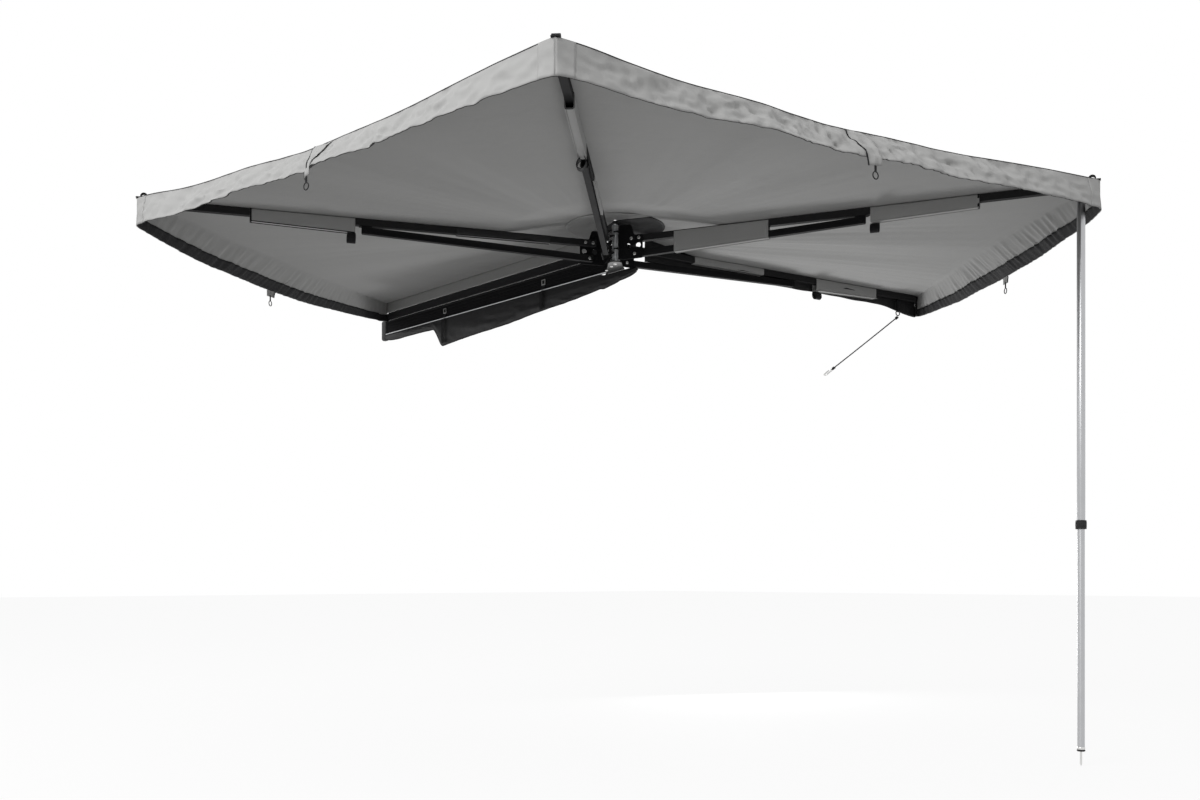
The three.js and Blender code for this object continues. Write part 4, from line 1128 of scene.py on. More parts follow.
HOOD_BEFORE_ARM = math.radians(26)
HOOD_BEFORE_FRONT = math.radians(8)
HOOD_SLACK = 9 * MM
PATCH_RIM = 1 * MM
PATCH_PLEAT = 1.6 * MM
PATCH_PLEATS = 9
PATCH_START = 0.03


class AwningApex(bpy.types.Operator):
    """Lays the apex patch over the post: canvas on one side and the black hood on the other"""

    bl_idname = "awning.apex"
    bl_label = "Apex"

    def execute(self, context):
        out = arm(3).out
        start = math.atan2(-out[0], out[1]) + 2 * math.pi - HOOD_BEFORE_ARM
        end = 2 * math.pi - HOOD_BEFORE_FRONT
        self.sector(
            "apex_hood", start, end, "black_coated_cloth", "hood_cloth", ["canopy_apex_patch"], HOOD_SLACK
        )
        self.sector("apex_canvas", end - 2 * math.pi, start, "grey_canvas", "grey_canvas", [], 0.0)
        return {"FINISHED"}

    def sector(self, name, start, end, slot, finish, nodes, slack):
        wide = settings("canopy").patch_radius
        low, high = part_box("canopy_apex_patch")
        apex = high[2] - POST[2] - PATCH_RIM
        rim = low[2] - POST[2] + PATCH_RIM
        out = np.linspace(PATCH_START, 1, 22)[:, None]
        turn = np.linspace(start, end, 60)[None, :]
        radius = wide * out
        pleat = PATCH_PLEAT * np.sin(PATCH_PLEATS * turn) * out * (1 - 0.5 * out)
        inward = np.maximum(np.sin(math.pi * (turn - start) / (end - start)), 0.0)
        sag = slack * np.sin(math.pi * out) ** 2 * inward
        height = apex + (rim - apex) * out + pleat - sag
        grid = np.stack([-radius * np.sin(turn), radius * np.cos(turn), height], axis=-1)
        shape = sheet_shape(grid)
        obj = add_piece(name, shape, slot, finish=finish, nodes=nodes, smooth=60, thick=PATCH_CLOTH)


SLEEVE_STEPS = 36
SLEEVE_TURNS = np.arange(SLEEVE_STEPS) * 2 * math.pi / SLEEVE_STEPS
SLEEVE_CORNER_POWER = 0.28
SLEEVE_DOUBLING = 0.4 * MM
SLEEVE_CLOTH_SHARE = 0.8
SLEEVE_CREASE_START = 3
BINDING_ENDS = (0.004, 0.996)
SLEEVE_CREASES = (11, 60, 26)
SLEEVE_SEEDS = {"inner": 2.0, "outer": 0.0}
BINDING_INSET = 0.8 * MM
BINDING_DROP = 0.6 * MM

# Sections of the tape around a sleeve's outer end: place along it and how proud it stands, in millimetres
END_BINDING = ((-7, 0.4), (-6.6, 1.5), (-0.4, 1.5), (0, 0.4))


def box_outline(half, top, bottom):
    """Sides and heights of a box's outline with soft corners."""
    c, s = np.cos(SLEEVE_TURNS), np.sin(SLEEVE_TURNS)
    side = half * np.copysign(np.abs(c) ** SLEEVE_CORNER_POWER, c)
    return side, (top + bottom) / 2 + (top - bottom) / 2 * np.copysign(np.abs(s) ** SLEEVE_CORNER_POWER, s)


class AwningSleeves(bpy.types.Operator):
    """Sews the cloth sleeves that hold the canopy to the rafters"""

    bl_idname = "awning.sleeves"
    bl_label = "Sleeves"

    def execute(self, context):
        for number in ARMS:
            for place in ("inner", "outer"):
                self.sleeve(number, place)
        return {"FINISHED"}

    def sleeve(self, number, place):
        cloth = settings("cloth")
        line = arm(number)
        node = f"sleeve_{place}_{number}"
        shape = line.along(node)
        start, end = shape[:, 0].min(), shape[:, 0].max()
        half = shape[:, 1].max() - cloth.sleeve_cloth
        top = shape[:, 2].max() - cloth.sleeve_cloth / 2
        ends = shape[shape[:, 0] < start + MM], shape[shape[:, 0] > end - MM]
        bottoms = [points[:, 2].min() + cloth.sleeve_cloth / 2 for points in ends]
        hem, long = cloth.sleeve_hem, end - start
        stations = np.concatenate([
            np.linspace(0, hem, 4), np.linspace(hem + MM, long - hem - MM, 40),
            np.linspace(long - hem, long, 4),
        ])
        rows = []
        for along in stations:
            bottom = bottoms[0] + along / long * (bottoms[1] - bottoms[0])
            doubled = SLEEVE_DOUBLING if along <= hem or along >= long - hem else 0.0
            sides, heights = box_outline(half, top, bottom)
            rows.append(np.stack([0 * sides + start + along, sides, heights, 0 * sides + doubled], axis=-1))
        grid = np.array(rows)
        side, height = grid[..., 1], grid[..., 2]
        crease = wrinkle(grid[..., :3], SLEEVE_CREASES, 5.0 * number + SLEEVE_SEEDS[place])
        push = (cloth.sleeve_crease * crease * np.abs(side) / half + grid[..., 3]) * np.sign(side)
        side = side + push * ease((top - height) / (top - min(bottoms)) * SLEEVE_CREASE_START)
        points = POST + grid[..., :1] * line.out + (line.side + side)[..., None] * line.clockwise
        points[..., 2] = line.middle_z + height
        slot = "black_coated_cloth" if node in DARK_SLEEVES else "sleeve_canvas"
        obj = add_piece(
            f"{node}_cloth", (points, grid_faces(len(stations), SLEEVE_STEPS, wrap=True)), slot, line.body,
            nodes=[node], smooth=50, thick=cloth.sleeve_cloth * SLEEVE_CLOTH_SHARE,
        )
        pieces = [self.binding(number, place, edge, start, end, half, bottoms) for edge in (-1, 1)]
        if place == "outer":
            pieces.append(self.end_binding(number, end, half, top, bottoms[1]))

    def binding(self, number, place, edge, start, end, half, bottoms):
        """Thin binding along one lower edge of a sleeve, dark on arm 1."""
        line = arm(number)
        path = [
            line.at(
                start + out * (end - start), edge * (half - BINDING_INSET),
                bottoms[0] + out * (bottoms[1] - bottoms[0]) - BINDING_DROP,
            )
            for out in np.linspace(*BINDING_ENDS, 30)
        ]
        name = f"sleeve_{place}_binding_{number}_{'in' if edge < 0 else 'out'}"
        slot = "black_webbing" if number == 1 else "sleeve_canvas"
        return add_piece(name, sweep(path, circle(settings("cloth").sleeve_piping)), slot, line.body)

    def end_binding(self, number, end, half, top, bottom):
        """Black tape around a sleeve's outer end."""
        line = arm(number)
        rings = []
        for along, proud in END_BINDING:
            proud = proud * MM
            outline = box_outline(half + proud, top + proud, bottom - proud)
            rings.append([line.at(end + along * MM, side, height) for side, height in zip(*outline)])
        shape = np.array(rings), grid_faces(len(rings), SLEEVE_STEPS, wrap=True)
        return add_piece(f"sleeve_end_binding_{number}", shape, "black_webbing", line.body)


# Silver bead along the channel's lower lip, standing for a painted highlight on that edge
LIP_HIGHLIGHT_BEAD = 2.6 * MM
LIP_PLACE = (-0.4 * MM, 1.6 * MM)
BRACKET_STEEL = 6 * MM
WASHER = (9 * MM, 1.5 * MM)
BOLT_GAP = 0.2 * MM
FOOT_BOLT_SIDE = 18 * MM
LEG_BOLT_SIDE = 17 * MM
LEG_BOLT_LEVELS = (12 * MM, 74 * MM)
CAP_SCREW_INSET = 22 * MM
CAP_SCREW_HEIGHT = 2.2 * MM


class AwningChannel(bpy.types.Operator):
    """Finishes the back channel, its end caps and brackets, adds their bolts, and paints a highlight along
    the lip with a silver bead
    """

    bl_idname = "awning.channel"
    bl_label = "Channel"

    def execute(self, context):
        dress_node("back_channel", "black_metal")
        for end in ("rear", "front"):
            dress_node(f"channel_cap_{end}", "black_plastic")
        for place in ("rear", "middle", "front"):
            dress_node(f"mount_bracket_{place}", "black_metal")
            self.bracket_bolts(place)
        self.lip()
        self.cap_screws()
        return {"FINISHED"}

    def lip(self):
        """A silver bead along the channel's lower lip: a painted highlight on its rounded edge."""
        low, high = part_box("back_channel")
        x, z = low[0] + LIP_PLACE[0], low[2] + LIP_PLACE[1]
        path = [(x, y, z) for y in np.linspace(low[1] + MM, high[1] - MM, 40)]
        add_piece("channel_lip_bead", sweep(path, circle(LIP_HIGHLIGHT_BEAD, 12)), "silver_metal")

    def bracket_bolts(self, place):
        """Two bolts through each foot and two that hold the leg to the channel's rails."""
        sizes = settings("hardware")
        low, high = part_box(f"mount_bracket_{place}")
        middle = (low[1] + high[1]) / 2
        foot_x = (low[0] + BRACKET_STEEL + high[0]) / 2
        steel = BRACKET_STEEL + BOLT_GAP
        radius, thick = WASHER
        washer = lathe([(0, 0), (radius, 0), (radius, thick), (0, thick)], 28)
        shapes = []
        for side in (-FOOT_BOLT_SIDE, FOOT_BOLT_SIDE):
            spot = np.array((foot_x + side, middle + side, low[2] + steel))
            shapes.append(turned(washer, UP, spot))
            shapes.append(turned(hex_nut(sizes.bolt_radius, sizes.bolt_height), UP, spot + UP * thick))
        for level in LEG_BOLT_LEVELS:
            for side in (-LEG_BOLT_SIDE, LEG_BOLT_SIDE):
                spot = (low[0] + steel, middle + side, low[2] + level)
                shapes.append(turned(bolt_head(sizes.bolt_radius, sizes.bolt_height), (1, 0, 0), spot))
        add_zinc(f"bracket_bolts_{place}", shapes)

    def cap_screws(self):
        """Two screws in each end cap."""
        head = bolt_head(settings("hardware").small_bolt_radius, CAP_SCREW_HEIGHT)
        for end, direction in (("rear", -1), ("front", 1)):
            low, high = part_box(f"channel_cap_{end}")
            y = low[1] if direction < 0 else high[1]
            x = (low[0] + high[0]) / 2
            levels = (low[2] + CAP_SCREW_INSET, high[2] - CAP_SCREW_INSET)
            shapes = [turned(head, (0, direction, 0), (x, y, level)) for level in levels]
            add_zinc(f"channel_cap_screws_{end}", shapes)


# Section of the keder strip: each point's place from its outer or inner side, and its height from an end,
# in millimetres
STRIP_OUTER = ((1.4, 0), (0.8, -8), (1.2, -16), (0.4, -26))
STRIP_INNER = ((-1.6, 5), (-0.8, 1.4))
STRIP_EDGE = (0.6 * MM, 0.2 * MM)
STRIP_SWAY = 0.5 * MM
STRIP_WAVE = 9
STRIP_SEED = 3.3
ZIP_BELOW = 13.2 * MM
ZIP_END = 6 * MM
TOOTH_BITE = 0.7 * MM
TOOTH_HALF = 0.9 * MM
TOOTH_ROUNDING = 0.3 * MM


class AwningKederStrip(bpy.types.Operator):
    """Makes the black strip that joins the canopy to the channel, and its zip"""

    bl_idname = "awning.keder_strip"
    bl_label = "Keder strip"

    def execute(self, context):
        low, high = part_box("keder_strip")
        bead = (high[0] - low[0]) / 2
        stations = np.linspace(low[1], high[1], 180)
        rings = []
        for y in stations:
            sway = STRIP_SWAY * noise.noise(Vector((y * STRIP_WAVE, 0, STRIP_SEED)))
            inner, outer = high[0] - STRIP_EDGE[1], low[0] + STRIP_EDGE[0] + sway
            ring = [(inner, y, high[2])]
            ring += [(outer + x * MM, y, high[2] + z * MM) for x, z in STRIP_OUTER]
            ring += [(inner - bead + x * MM, y, low[2] + z * MM) for x, z in STRIP_INNER]
            ring.append((inner - STRIP_EDGE[0], y, low[2]))
            rings.append(ring)
        rings = np.array(rings)
        faces = tube_faces(*rings.shape[:2], inward=True)
        add_piece("keder_strip_cloth", (rings, faces), "black_webbing", nodes=["keder_strip"], smooth=50)
        self.zip_teeth(low, high)
        return {"FINISHED"}

    def zip_teeth(self, low, high):
        """A row of moulded teeth on the strip's face."""
        cloth = settings("cloth")
        size = cloth.zip_tooth
        level = POST[2] - ZIP_BELOW
        x = low[0] + STRIP_SWAY
        block = np.array([2 * TOOTH_HALF, size, size])
        shapes = []
        for i, y in enumerate(np.arange(low[1] + ZIP_END, high[1] - ZIP_END, cloth.zip_pitch)):
            lift = TOOTH_BITE if i % 2 else -TOOTH_BITE
            corner = np.array([x - TOOTH_HALF, y - size / 2, level + lift - size / 2])
            shapes.append(rounded_block(corner, corner + block, TOOTH_ROUNDING, 1))
        add_zinc("channel_zip_teeth", shapes)


BAND_BELOW_EDGE = 0.7 * MM
BAND_PUCKER = 1.5 * MM
BAND_RIM = 0.05
BAND_PUCKERS = (((34, 9, 1), 61.0, 1), ((80, 20, 1), 65.0, 0.5))


class AwningChannelBand(bpy.types.Operator):
    """Sews the band of canvas between the keder strip and the canopy's edge"""

    bl_idname = "awning.channel_band"
    bl_label = "Channel band"

    def execute(self, context):
        low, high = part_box("canopy_channel_band")
        edge_start, edge_end = edge_of(0, 0.0)[1], edge_of(0, 1.0)[1]
        start, end = low[1] - POST[1], edge_end - MM
        stations = np.linspace(start, end, 260)
        outs = (stations - edge_start) / (edge_end - edge_start)
        tops = gore_points(1, np.zeros_like(outs), outs)[:, 2] - BAND_BELOW_EDGE
        foot = low[2] - POST[2]
        middle = (low[0] + high[0]) / 2 - POST[0]
        rows = []
        for up in np.linspace(0, 1, 9):
            height = foot + up * (tops - foot)
            spots = np.stack([stations, height, 0 * stations], axis=-1)
            pucker = sum(amount * wrinkle(spots, stretch, seed) for stretch, seed, amount in BAND_PUCKERS)
            out = BAND_PUCKER * pucker * math.sin(math.pi * min(max(up, BAND_RIM), 1 - BAND_RIM))
            rows.append(np.stack([middle - out, stations, height], axis=-1))
        obj = add_piece(
            "channel_band_cloth", sheet_shape(np.array(rows)), "grey_canvas", nodes=["canopy_channel_band"],
            smooth=60, thick=settings("canopy").cloth,
        )
        return {"FINISHED"}


FLAP_FACE = 1.0 * MM
FLAP_FOLD_LIFT = 0.2 * MM
FLAP_FOOT = (-34 * MM, -16 * MM)
FLAP_CORNER_LENGTH = 260 * MM
FLAP_SAG = 5 * MM
FLAP_SAG_WAVE = 26
FLAP_SWAY = (4, 2.0)
FLAP_FOLD_END = 0.08
FLAP_CREASE_START = 3
FLAP_BINDING = 1.8 * MM
FLAP_ZIP = 0.9 * MM
FLAP_ZIP_STAND = 0.6 * MM
FLAP_ZIP_HEIGHT = -25 * MM
FLAP_ZIP_ENDS = (40 * MM, 60 * MM)
FLAP_BULGE = 3 * MM
FLAP_BULGE_RIM = 0.05
FLAP_BOLT = (5.5 * MM, 2.4 * MM)
FLAP_BOLT_HEIGHT = -22 * MM

# Creases of the flap: noise along it and down it, seed and depth in millimetres
FLAP_CREASES = ((16, 1.6, 5.0, 1.6), (45, 3.0, 9.0, 0.7))


class AwningEndFlap(bpy.types.Operator):
    """Hangs the black flap along the canopy's open side, outside arm 4"""

    bl_idname = "awning.end_flap"
    bl_label = "End flap"

    def execute(self, context):
        sizes = settings("canopy")
        line = arm(LAST)
        shape = line.along("canopy_end_flap")
        start, end = shape[:, 0].min(), shape[:, 0].max()
        seam, outside = sorted((shape[:, 1].max(), shape[:, 1].min()), key=abs)
        face = outside + math.copysign(FLAP_FACE, seam - outside)
        corner = shape[:, 2].min()
        level = sheet_level() + POST[2] - line.middle_z
        rows = []
        for reach in np.linspace(start, end, 170):
            radius = math.hypot(line.side + outside, reach)
            top = level + sizes.apex_rise * max(0, 1 - radius / sizes.cone_radius)
            edge = FLAP_FOOT[0] + (reach - start) / (end - start) * FLAP_FOOT[1]
            into_corner = float(ease((reach - end + FLAP_CORNER_LENGTH) / FLAP_CORNER_LENGTH))
            foot = edge + (corner - edge) * into_corner
            sway = noise.noise(Vector((reach * FLAP_SWAY[0], FLAP_SWAY[1], 0)))
            sag = FLAP_SAG * math.sin(FLAP_SAG_WAVE * reach) * sway
            row = [(seam, top), ((seam + face) / 2, top + FLAP_FOLD_LIFT), (face, top)]
            for down in np.linspace(FLAP_FOLD_END, 1, 12):
                stand = 0.0
                for along, across, seed, amount in FLAP_CREASES:
                    stand += amount * noise.noise(Vector((reach * along, down * across, seed)))
                stand = stand * MM * min(1.0, FLAP_CREASE_START * down)
                row.append((face + math.copysign(stand, outside), top + down * (foot - top) - sag * down))
            rows.append([line.at(reach, side, height) for side, height in row])
        grid = np.array(rows)
        obj = add_piece(
            "end_flap_cloth", sheet_shape(grid, 0), "black_coated_cloth", line.body,
            nodes=["canopy_end_flap"], smooth=60, thick=sizes.cloth,
        )
        binding = sweep(grid[:, -1], circle(FLAP_BINDING))
        outer = outside + math.copysign(FLAP_ZIP_STAND, outside)
        reaches = np.linspace(start + FLAP_ZIP_ENDS[0], end - FLAP_ZIP_ENDS[1], 120)
        track = [line.at(reach, outer, FLAP_ZIP_HEIGHT) for reach in reaches]
        pieces = [
            add_piece("end_flap_binding", binding, "black_webbing", line.body),
            add_zinc("end_flap_zip", [sweep(track, circle(FLAP_ZIP, 6))], line.body),
            self.corner(line, end, face, seam, level, corner),
        ]
        return {"FINISHED"}

    def corner(self, line, end, face, seam, top, foot):
        """The flap's end, folded over the rafter's tip, with its bolt."""
        rows = []
        for down in np.linspace(0, 1, 10):
            row = []
            for over in np.linspace(0, 1, 7):
                rim = math.sin(math.pi * min(down + FLAP_BULGE_RIM, 1))
                bulge = FLAP_BULGE * math.sin(math.pi * over) * rim
                row.append(line.at(end + bulge, face + over * (seam - face), top + down * (foot - top)))
            rows.append(row)
        shape = sheet_shape(np.array(rows), 0)
        thick = settings("canopy").cloth
        obj = add_piece("end_flap_corner", shape, "black_coated_cloth", line.body, smooth=60, thick=thick)
        radius, height = FLAP_BOLT
        spot = line.at(end + height, (face + seam) / 2, FLAP_BOLT_HEIGHT)
        add_zinc("end_flap_bolt", [turned(bolt_head(radius, height), line.out, spot)], line.body)
        return obj


BAG_STEPS = 44
BAG_RINGS = 260
BAG_RING_POWER = 1.05
BAG_PLATE_GAP = 10 * MM
BAG_PLATE_SLOPE = 30 * MM
BAG_END_SHARE = 0.45
BAG_END_POWER = 20
BAG_DROP_POWER = 0.7
BAG_TOP = 4 * MM
BAG_CLOTH = 1.5 * MM
BAG_HEM = 2 * MM
BAG_FOLD = 2.2 * MM
BAG_FINE = 1.6 * MM
BAG_SAG = 4 * MM
BAG_SAG_RATE = 12
BAG_CREASE_SHARE = 0.9
BAG_SWELL_SHARES = (0.74, 0.2, 0.08)
BAG_SWELL_RATES = (5, 9)
BAG_CREASE_RATES = (6, 2.6, 3, 0.4)
BAG_FOLD_RATES = (11, 2, 3.4)
BAG_FOLD_SEED = 7.0
BAG_FOLD_TOP = 0.5
BAG_FOLD_DEPTH = 2.4
BAG_FINE_RATES = (26, 6)
BAG_FINE_SEED = 4.0
BAG_PROUD = 2.5 * MM
BAG_INSET = 0.5 * MM
BAG_PIPING_DROP = 1.0 * MM
BAG_END_LOW = (-4 * MM, -6 * MM, -112 * MM)
BAG_END_HIGH = (-2 * MM, 36 * MM, -8 * MM)
BAG_END_ROUNDING = 11 * MM
BUCKLE_INSET = (0.7 * MM, 3.6 * MM, 3.6 * MM)
BUCKLE_ROUNDING = 0.5 * MM
STRAP_SHARES = (0.6, 0.8)
STRAP_STAND = (0.4 * MM, 1.4 * MM)

# Levels of a bag strap's route: below the buckle's top, above its foot, above the lip twice, below the
# lip, and above the strap's foot twice
STRAP_LEVELS = (4 * MM, 2 * MM, 14 * MM, 8 * MM, 15 * MM, 30 * MM, 2 * MM)


class AwningCoverBag(bpy.types.Operator):
    """Hangs the cover bag under the channel, with its straps and buckles"""

    bl_idname = "awning.cover_bag"
    bl_label = "Cover bag"

    def execute(self, context):
        cloth = settings("cloth")
        low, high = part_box("cover_bag")
        start = POST[1] - cloth.bag_rear
        outs = np.linspace(0, 1, BAG_RINGS) ** BAG_RING_POWER
        rings = [self.ring(start + out * (high[1] - start), out, low, high) for out in outs]
        lower = [np.array(ring[BAG_STEPS // 2]) - UP * BAG_PIPING_DROP for ring in rings]
        shape = np.array(rings), tube_faces(len(rings), BAG_STEPS, inward=True)
        bag = add_piece("cover_bag_cloth", shape, "black_coated_cloth", nodes=["cover_bag"], smooth=70)
        add_piece("cover_bag_piping", sweep(lower, circle(cloth.bag_piping)), "black_webbing")
        for place in ("rear", "front"):
            self.strap(place)
        self.front_end()
        return {"FINISHED"}

    def ring(self, y, out, low, high):
        """The bag's section at a place along the channel."""
        cloth = settings("cloth")
        middle, half = (low[0] + high[0]) / 2, (high[0] - low[0]) / 2
        plate_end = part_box("hinge_base")[1][1]
        under = float(ease((plate_end + BAG_PLATE_GAP - y) / BAG_PLATE_SLOPE))
        top = high[2] + under * (POST[2] - cloth.bag_under_plate - high[2])
        drop = self.drop(y - POST[1]) * (1 - BAG_END_SHARE * abs(2 * out - 1) ** BAG_END_POWER)
        base, slow, wave = BAG_SWELL_SHARES
        swell = base + slow * noise.noise(Vector((y * BAG_SWELL_RATES[0], 1.0, 0)))
        swell += wave * math.sin(BAG_SWELL_RATES[1] * y)
        ring = []
        for i in range(BAG_STEPS):
            turn = 2 * math.pi * i / BAG_STEPS
            down = 0.5 - 0.5 * math.cos(turn)
            width = BAG_TOP + (half - BAG_TOP) * math.sqrt(down) * swell
            along, lower, skew, around = BAG_CREASE_RATES
            spot = (y * along, down * lower + y * skew, math.sin(turn) * around)
            crease = cloth.bag_crease * noise.noise(Vector(spot))
            along, skew, lower = BAG_FOLD_RATES
            spot = (y * along + down * skew, down * lower, BAG_FOLD_SEED)
            folds = BAG_FOLD_TOP - abs(noise.noise(Vector(spot))) * BAG_FOLD_DEPTH
            fine = noise.noise(Vector((y * BAG_FINE_RATES[0], down * BAG_FINE_RATES[1], BAG_FINE_SEED)))
            x = middle - math.sin(turn) * (width - BAG_CLOTH)
            x += (crease + BAG_FOLD * folds + BAG_FINE * fine) * down * BAG_CREASE_SHARE
            x = min(max(x, low[0] - BAG_PROUD), high[0] - BAG_INSET)
            sag = BAG_SAG * math.sin(BAG_SAG_RATE * y) * down ** 3
            ring.append((x, y, top - (drop - BAG_HEM) * down + sag * 0.5))
        return ring

    def drop(self, y):
        """How far the bag hangs at a place: deeper up to the front strap, then rolled."""
        cloth = settings("cloth")
        along = min(max((y - cloth.bag_start) / (cloth.bag_step - cloth.bag_start), 0), 1)
        deep = cloth.bag_rear_drop + (cloth.bag_drop - cloth.bag_rear_drop) * along ** BAG_DROP_POWER
        step = float(ease((y - cloth.bag_step) / cloth.bag_step_length))
        return deep + step * (cloth.bag_front_drop - deep)

    def front_end(self):
        """The rounded black end of the bag, drawn over the channel's front end."""
        low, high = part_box("channel_cap_front")
        corner = np.array([low[0], high[1], POST[2]]) + BAG_END_LOW
        other = np.array([high[0], high[1], POST[2]]) + BAG_END_HIGH
        add_piece("cover_bag_end", rounded_block(corner, other, BAG_END_ROUNDING, 5), "black_coated_cloth")

    def strap(self, place):
        """A webbing strap from its buckle over the lip and down the bag."""
        thick = settings("cloth").strap_thick
        low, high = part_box(f"bag_strap_{place}")
        buckle_low, buckle_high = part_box(f"strap_buckle_{place}")
        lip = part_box("back_channel")[0]
        middle = (low[1] + high[1]) / 2
        behind = buckle_high[0] - thick * STRAP_SHARES[0]
        over = lip[0] - thick * STRAP_SHARES[1]
        hung = low[0] + thick / 2
        levels = STRAP_LEVELS
        route = [
            (buckle_high[0] - thick, buckle_high[2] - levels[0]), (behind, buckle_low[2] + levels[1]),
            (behind, lip[2] + levels[2]), (over, lip[2] + levels[3]), (over, lip[2]),
            (hung + STRAP_STAND[0], lip[2] - levels[4]), (hung, low[2] + levels[5]),
            (hung + STRAP_STAND[1], low[2] + levels[6]),
        ]
        curve = smooth_path([(x, middle, z) for x, z in route], 8)
        shape = sweep(curve, flat_section(high[1] - low[1] - MM, thick), np.array([1.0, 0, 0]))
        add_piece(f"bag_strap_{place}_webbing", shape, "black_webbing", nodes=[f"bag_strap_{place}"])
        dress_node(f"strap_buckle_{place}", "zinc")
        inset = Vector(BUCKLE_INSET)
        bar = rounded_block(buckle_low + inset, buckle_high - inset, BUCKLE_ROUNDING, 2)
        add_zinc(f"strap_buckle_bar_{place}", [bar])


# Bolts under the base plate, from the post's axis, and through a leaf, from its hinge and the rafter's middle
BASE_BOLTS = ((0, 0), (18 * MM, 40 * MM), (46 * MM, 100 * MM), (96 * MM, 150 * MM))
LEAF_BOLTS_OUT = (14 * MM, 46 * MM)
STRUT_BOLT = (90 * MM, -62 * MM)
LEAF_FACE = 16.8 * MM
STRUT_FACE = 10.8 * MM
NUT_SHARE = 0.95


class AwningHinge(bpy.types.Operator):
    """Finishes the hinge post, its base plate and leaves, and adds their bolts"""

    bl_idname = "awning.hinge"
    bl_label = "Hinge"

    def execute(self, context):
        sizes = settings("hardware")
        dress_node("hinge_base", "cast_metal")
        dress_node("hinge_post", "silver_metal")
        dress_node("post_cap", "silver_metal")
        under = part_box("hinge_base")[0][2]
        head = bolt_head(sizes.bolt_radius + MM, sizes.bolt_height)
        shapes = [turned(head, -UP, (POST[0] + x, POST[1] + y, under)) for x, y in BASE_BOLTS]
        add_zinc("hinge_base_bolts", shapes)
        for number in ARMS:
            self.leaf(number)
        return {"FINISHED"}

    def leaf(self, number):
        """Bolts through the leaf into the rafter and the strut."""
        sizes = settings("hardware")
        dress_node(f"hinge_leaf_{number}", "leaf")
        line = arm(number)
        head = bolt_head(sizes.bolt_radius, sizes.leaf_bolt_height)
        back = bolt_head(sizes.bolt_radius * NUT_SHARE, sizes.leaf_bolt_height)
        spots = [(line.start + out, 0, line.half) for out in LEAF_BOLTS_OUT] + [(*STRUT_BOLT, STRUT_FACE)]
        shapes = []
        for reach, height, inner in spots:
            shapes.append(turned(head, line.clockwise, line.at(reach, LEAF_FACE, height)))
            shapes.append(turned(back, -line.clockwise, line.at(reach, -inner, height)))
        add_zinc(f"leaf_bolts_{number}", shapes, line.body)


# Route of a stow strap: a side from the rafter's side or middle, and a height from the sleeve's foot
STOW_START = 14 * MM
STOW_BESIDE = ((2 * MM, -1.4 * MM), (-2 * MM, -14 * MM), (3 * MM, -30 * MM))
STOW_BELOW = ((2 * MM, -38 * MM), (15 * MM, -31 * MM), (13 * MM, -14 * MM), (4 * MM, -5 * MM))


class AwningArms(bpy.types.Operator):
    """Finishes the rafters, struts and clevises, and adds the stow straps"""

    bl_idname = "awning.arms"
    bl_label = "Arms"

    def execute(self, context):
        for number in ARMS:
            for node in ("rafter", "strut", "strut_clevis"):
                dress_node(f"{node}_{number}", "black_metal")
            dress_node(f"tip_cap_{number}", "black_plastic")
            self.stow_strap(number)
        return {"FINISHED"}

    def stow_strap(self, number):
        """A short hooked strap under the strut's outer end, used to tie the folded arms."""
        cloth = settings("cloth")
        line = arm(number)
        shape = line.along(f"sleeve_outer_{number}")
        start = shape[:, 0].min()
        bottom = shape[shape[:, 0] < start + MM][:, 2].min()
        route = [(side - line.half, height) for side, height in STOW_BESIDE] + list(STOW_BELOW)
        curve = smooth_path([line.at(start + STOW_START, side, bottom + height) for side, height in route], 7)
        shape = ribbon(curve, cloth.stow_width, cloth.strap_thick, line.out)
        add_piece(f"stow_strap_{number}", shape, "black_webbing", line.body)


COLLAR_BORE = 13.0 * MM

# Collar's section in millimetres: how far inside its radius, height from its foot or its top, and grip
COLLAR_FOOT = ((1.6, 0.0, 0), (0.3, 1.4, 0), (0.3, 4, 0), (0.9, 4.8, 0), (0.2, 6, 1))
COLLAR_TOP = ((0.2, 6, 1), (0.9, 4.8, 0), (0.4, 4, 0), (0.6, 1.2, 0), (2.0, 0, 0))
COLLAR_MIDDLE = 0.1

# Foot disc, spike and end ring in millimetres: radius and height
FOOT_DISC = ((0, -6.5), (12.04, -6.5), (14, -4.7), (14, -1.2), (12.6, 0), (0, 0))
FOOT_SPIKE = ((0, 0), (1.3125, 2.4), (3.675, 9), (3.75, 12))
SPIKE_TOP = -6.0 * MM
END_RING = ((0, 0), (12.9, 0), (13.4, 0.8), (13.4, 8), (12.7, 9), (0, 9))
END_RING_LIFT = 0.2 * MM


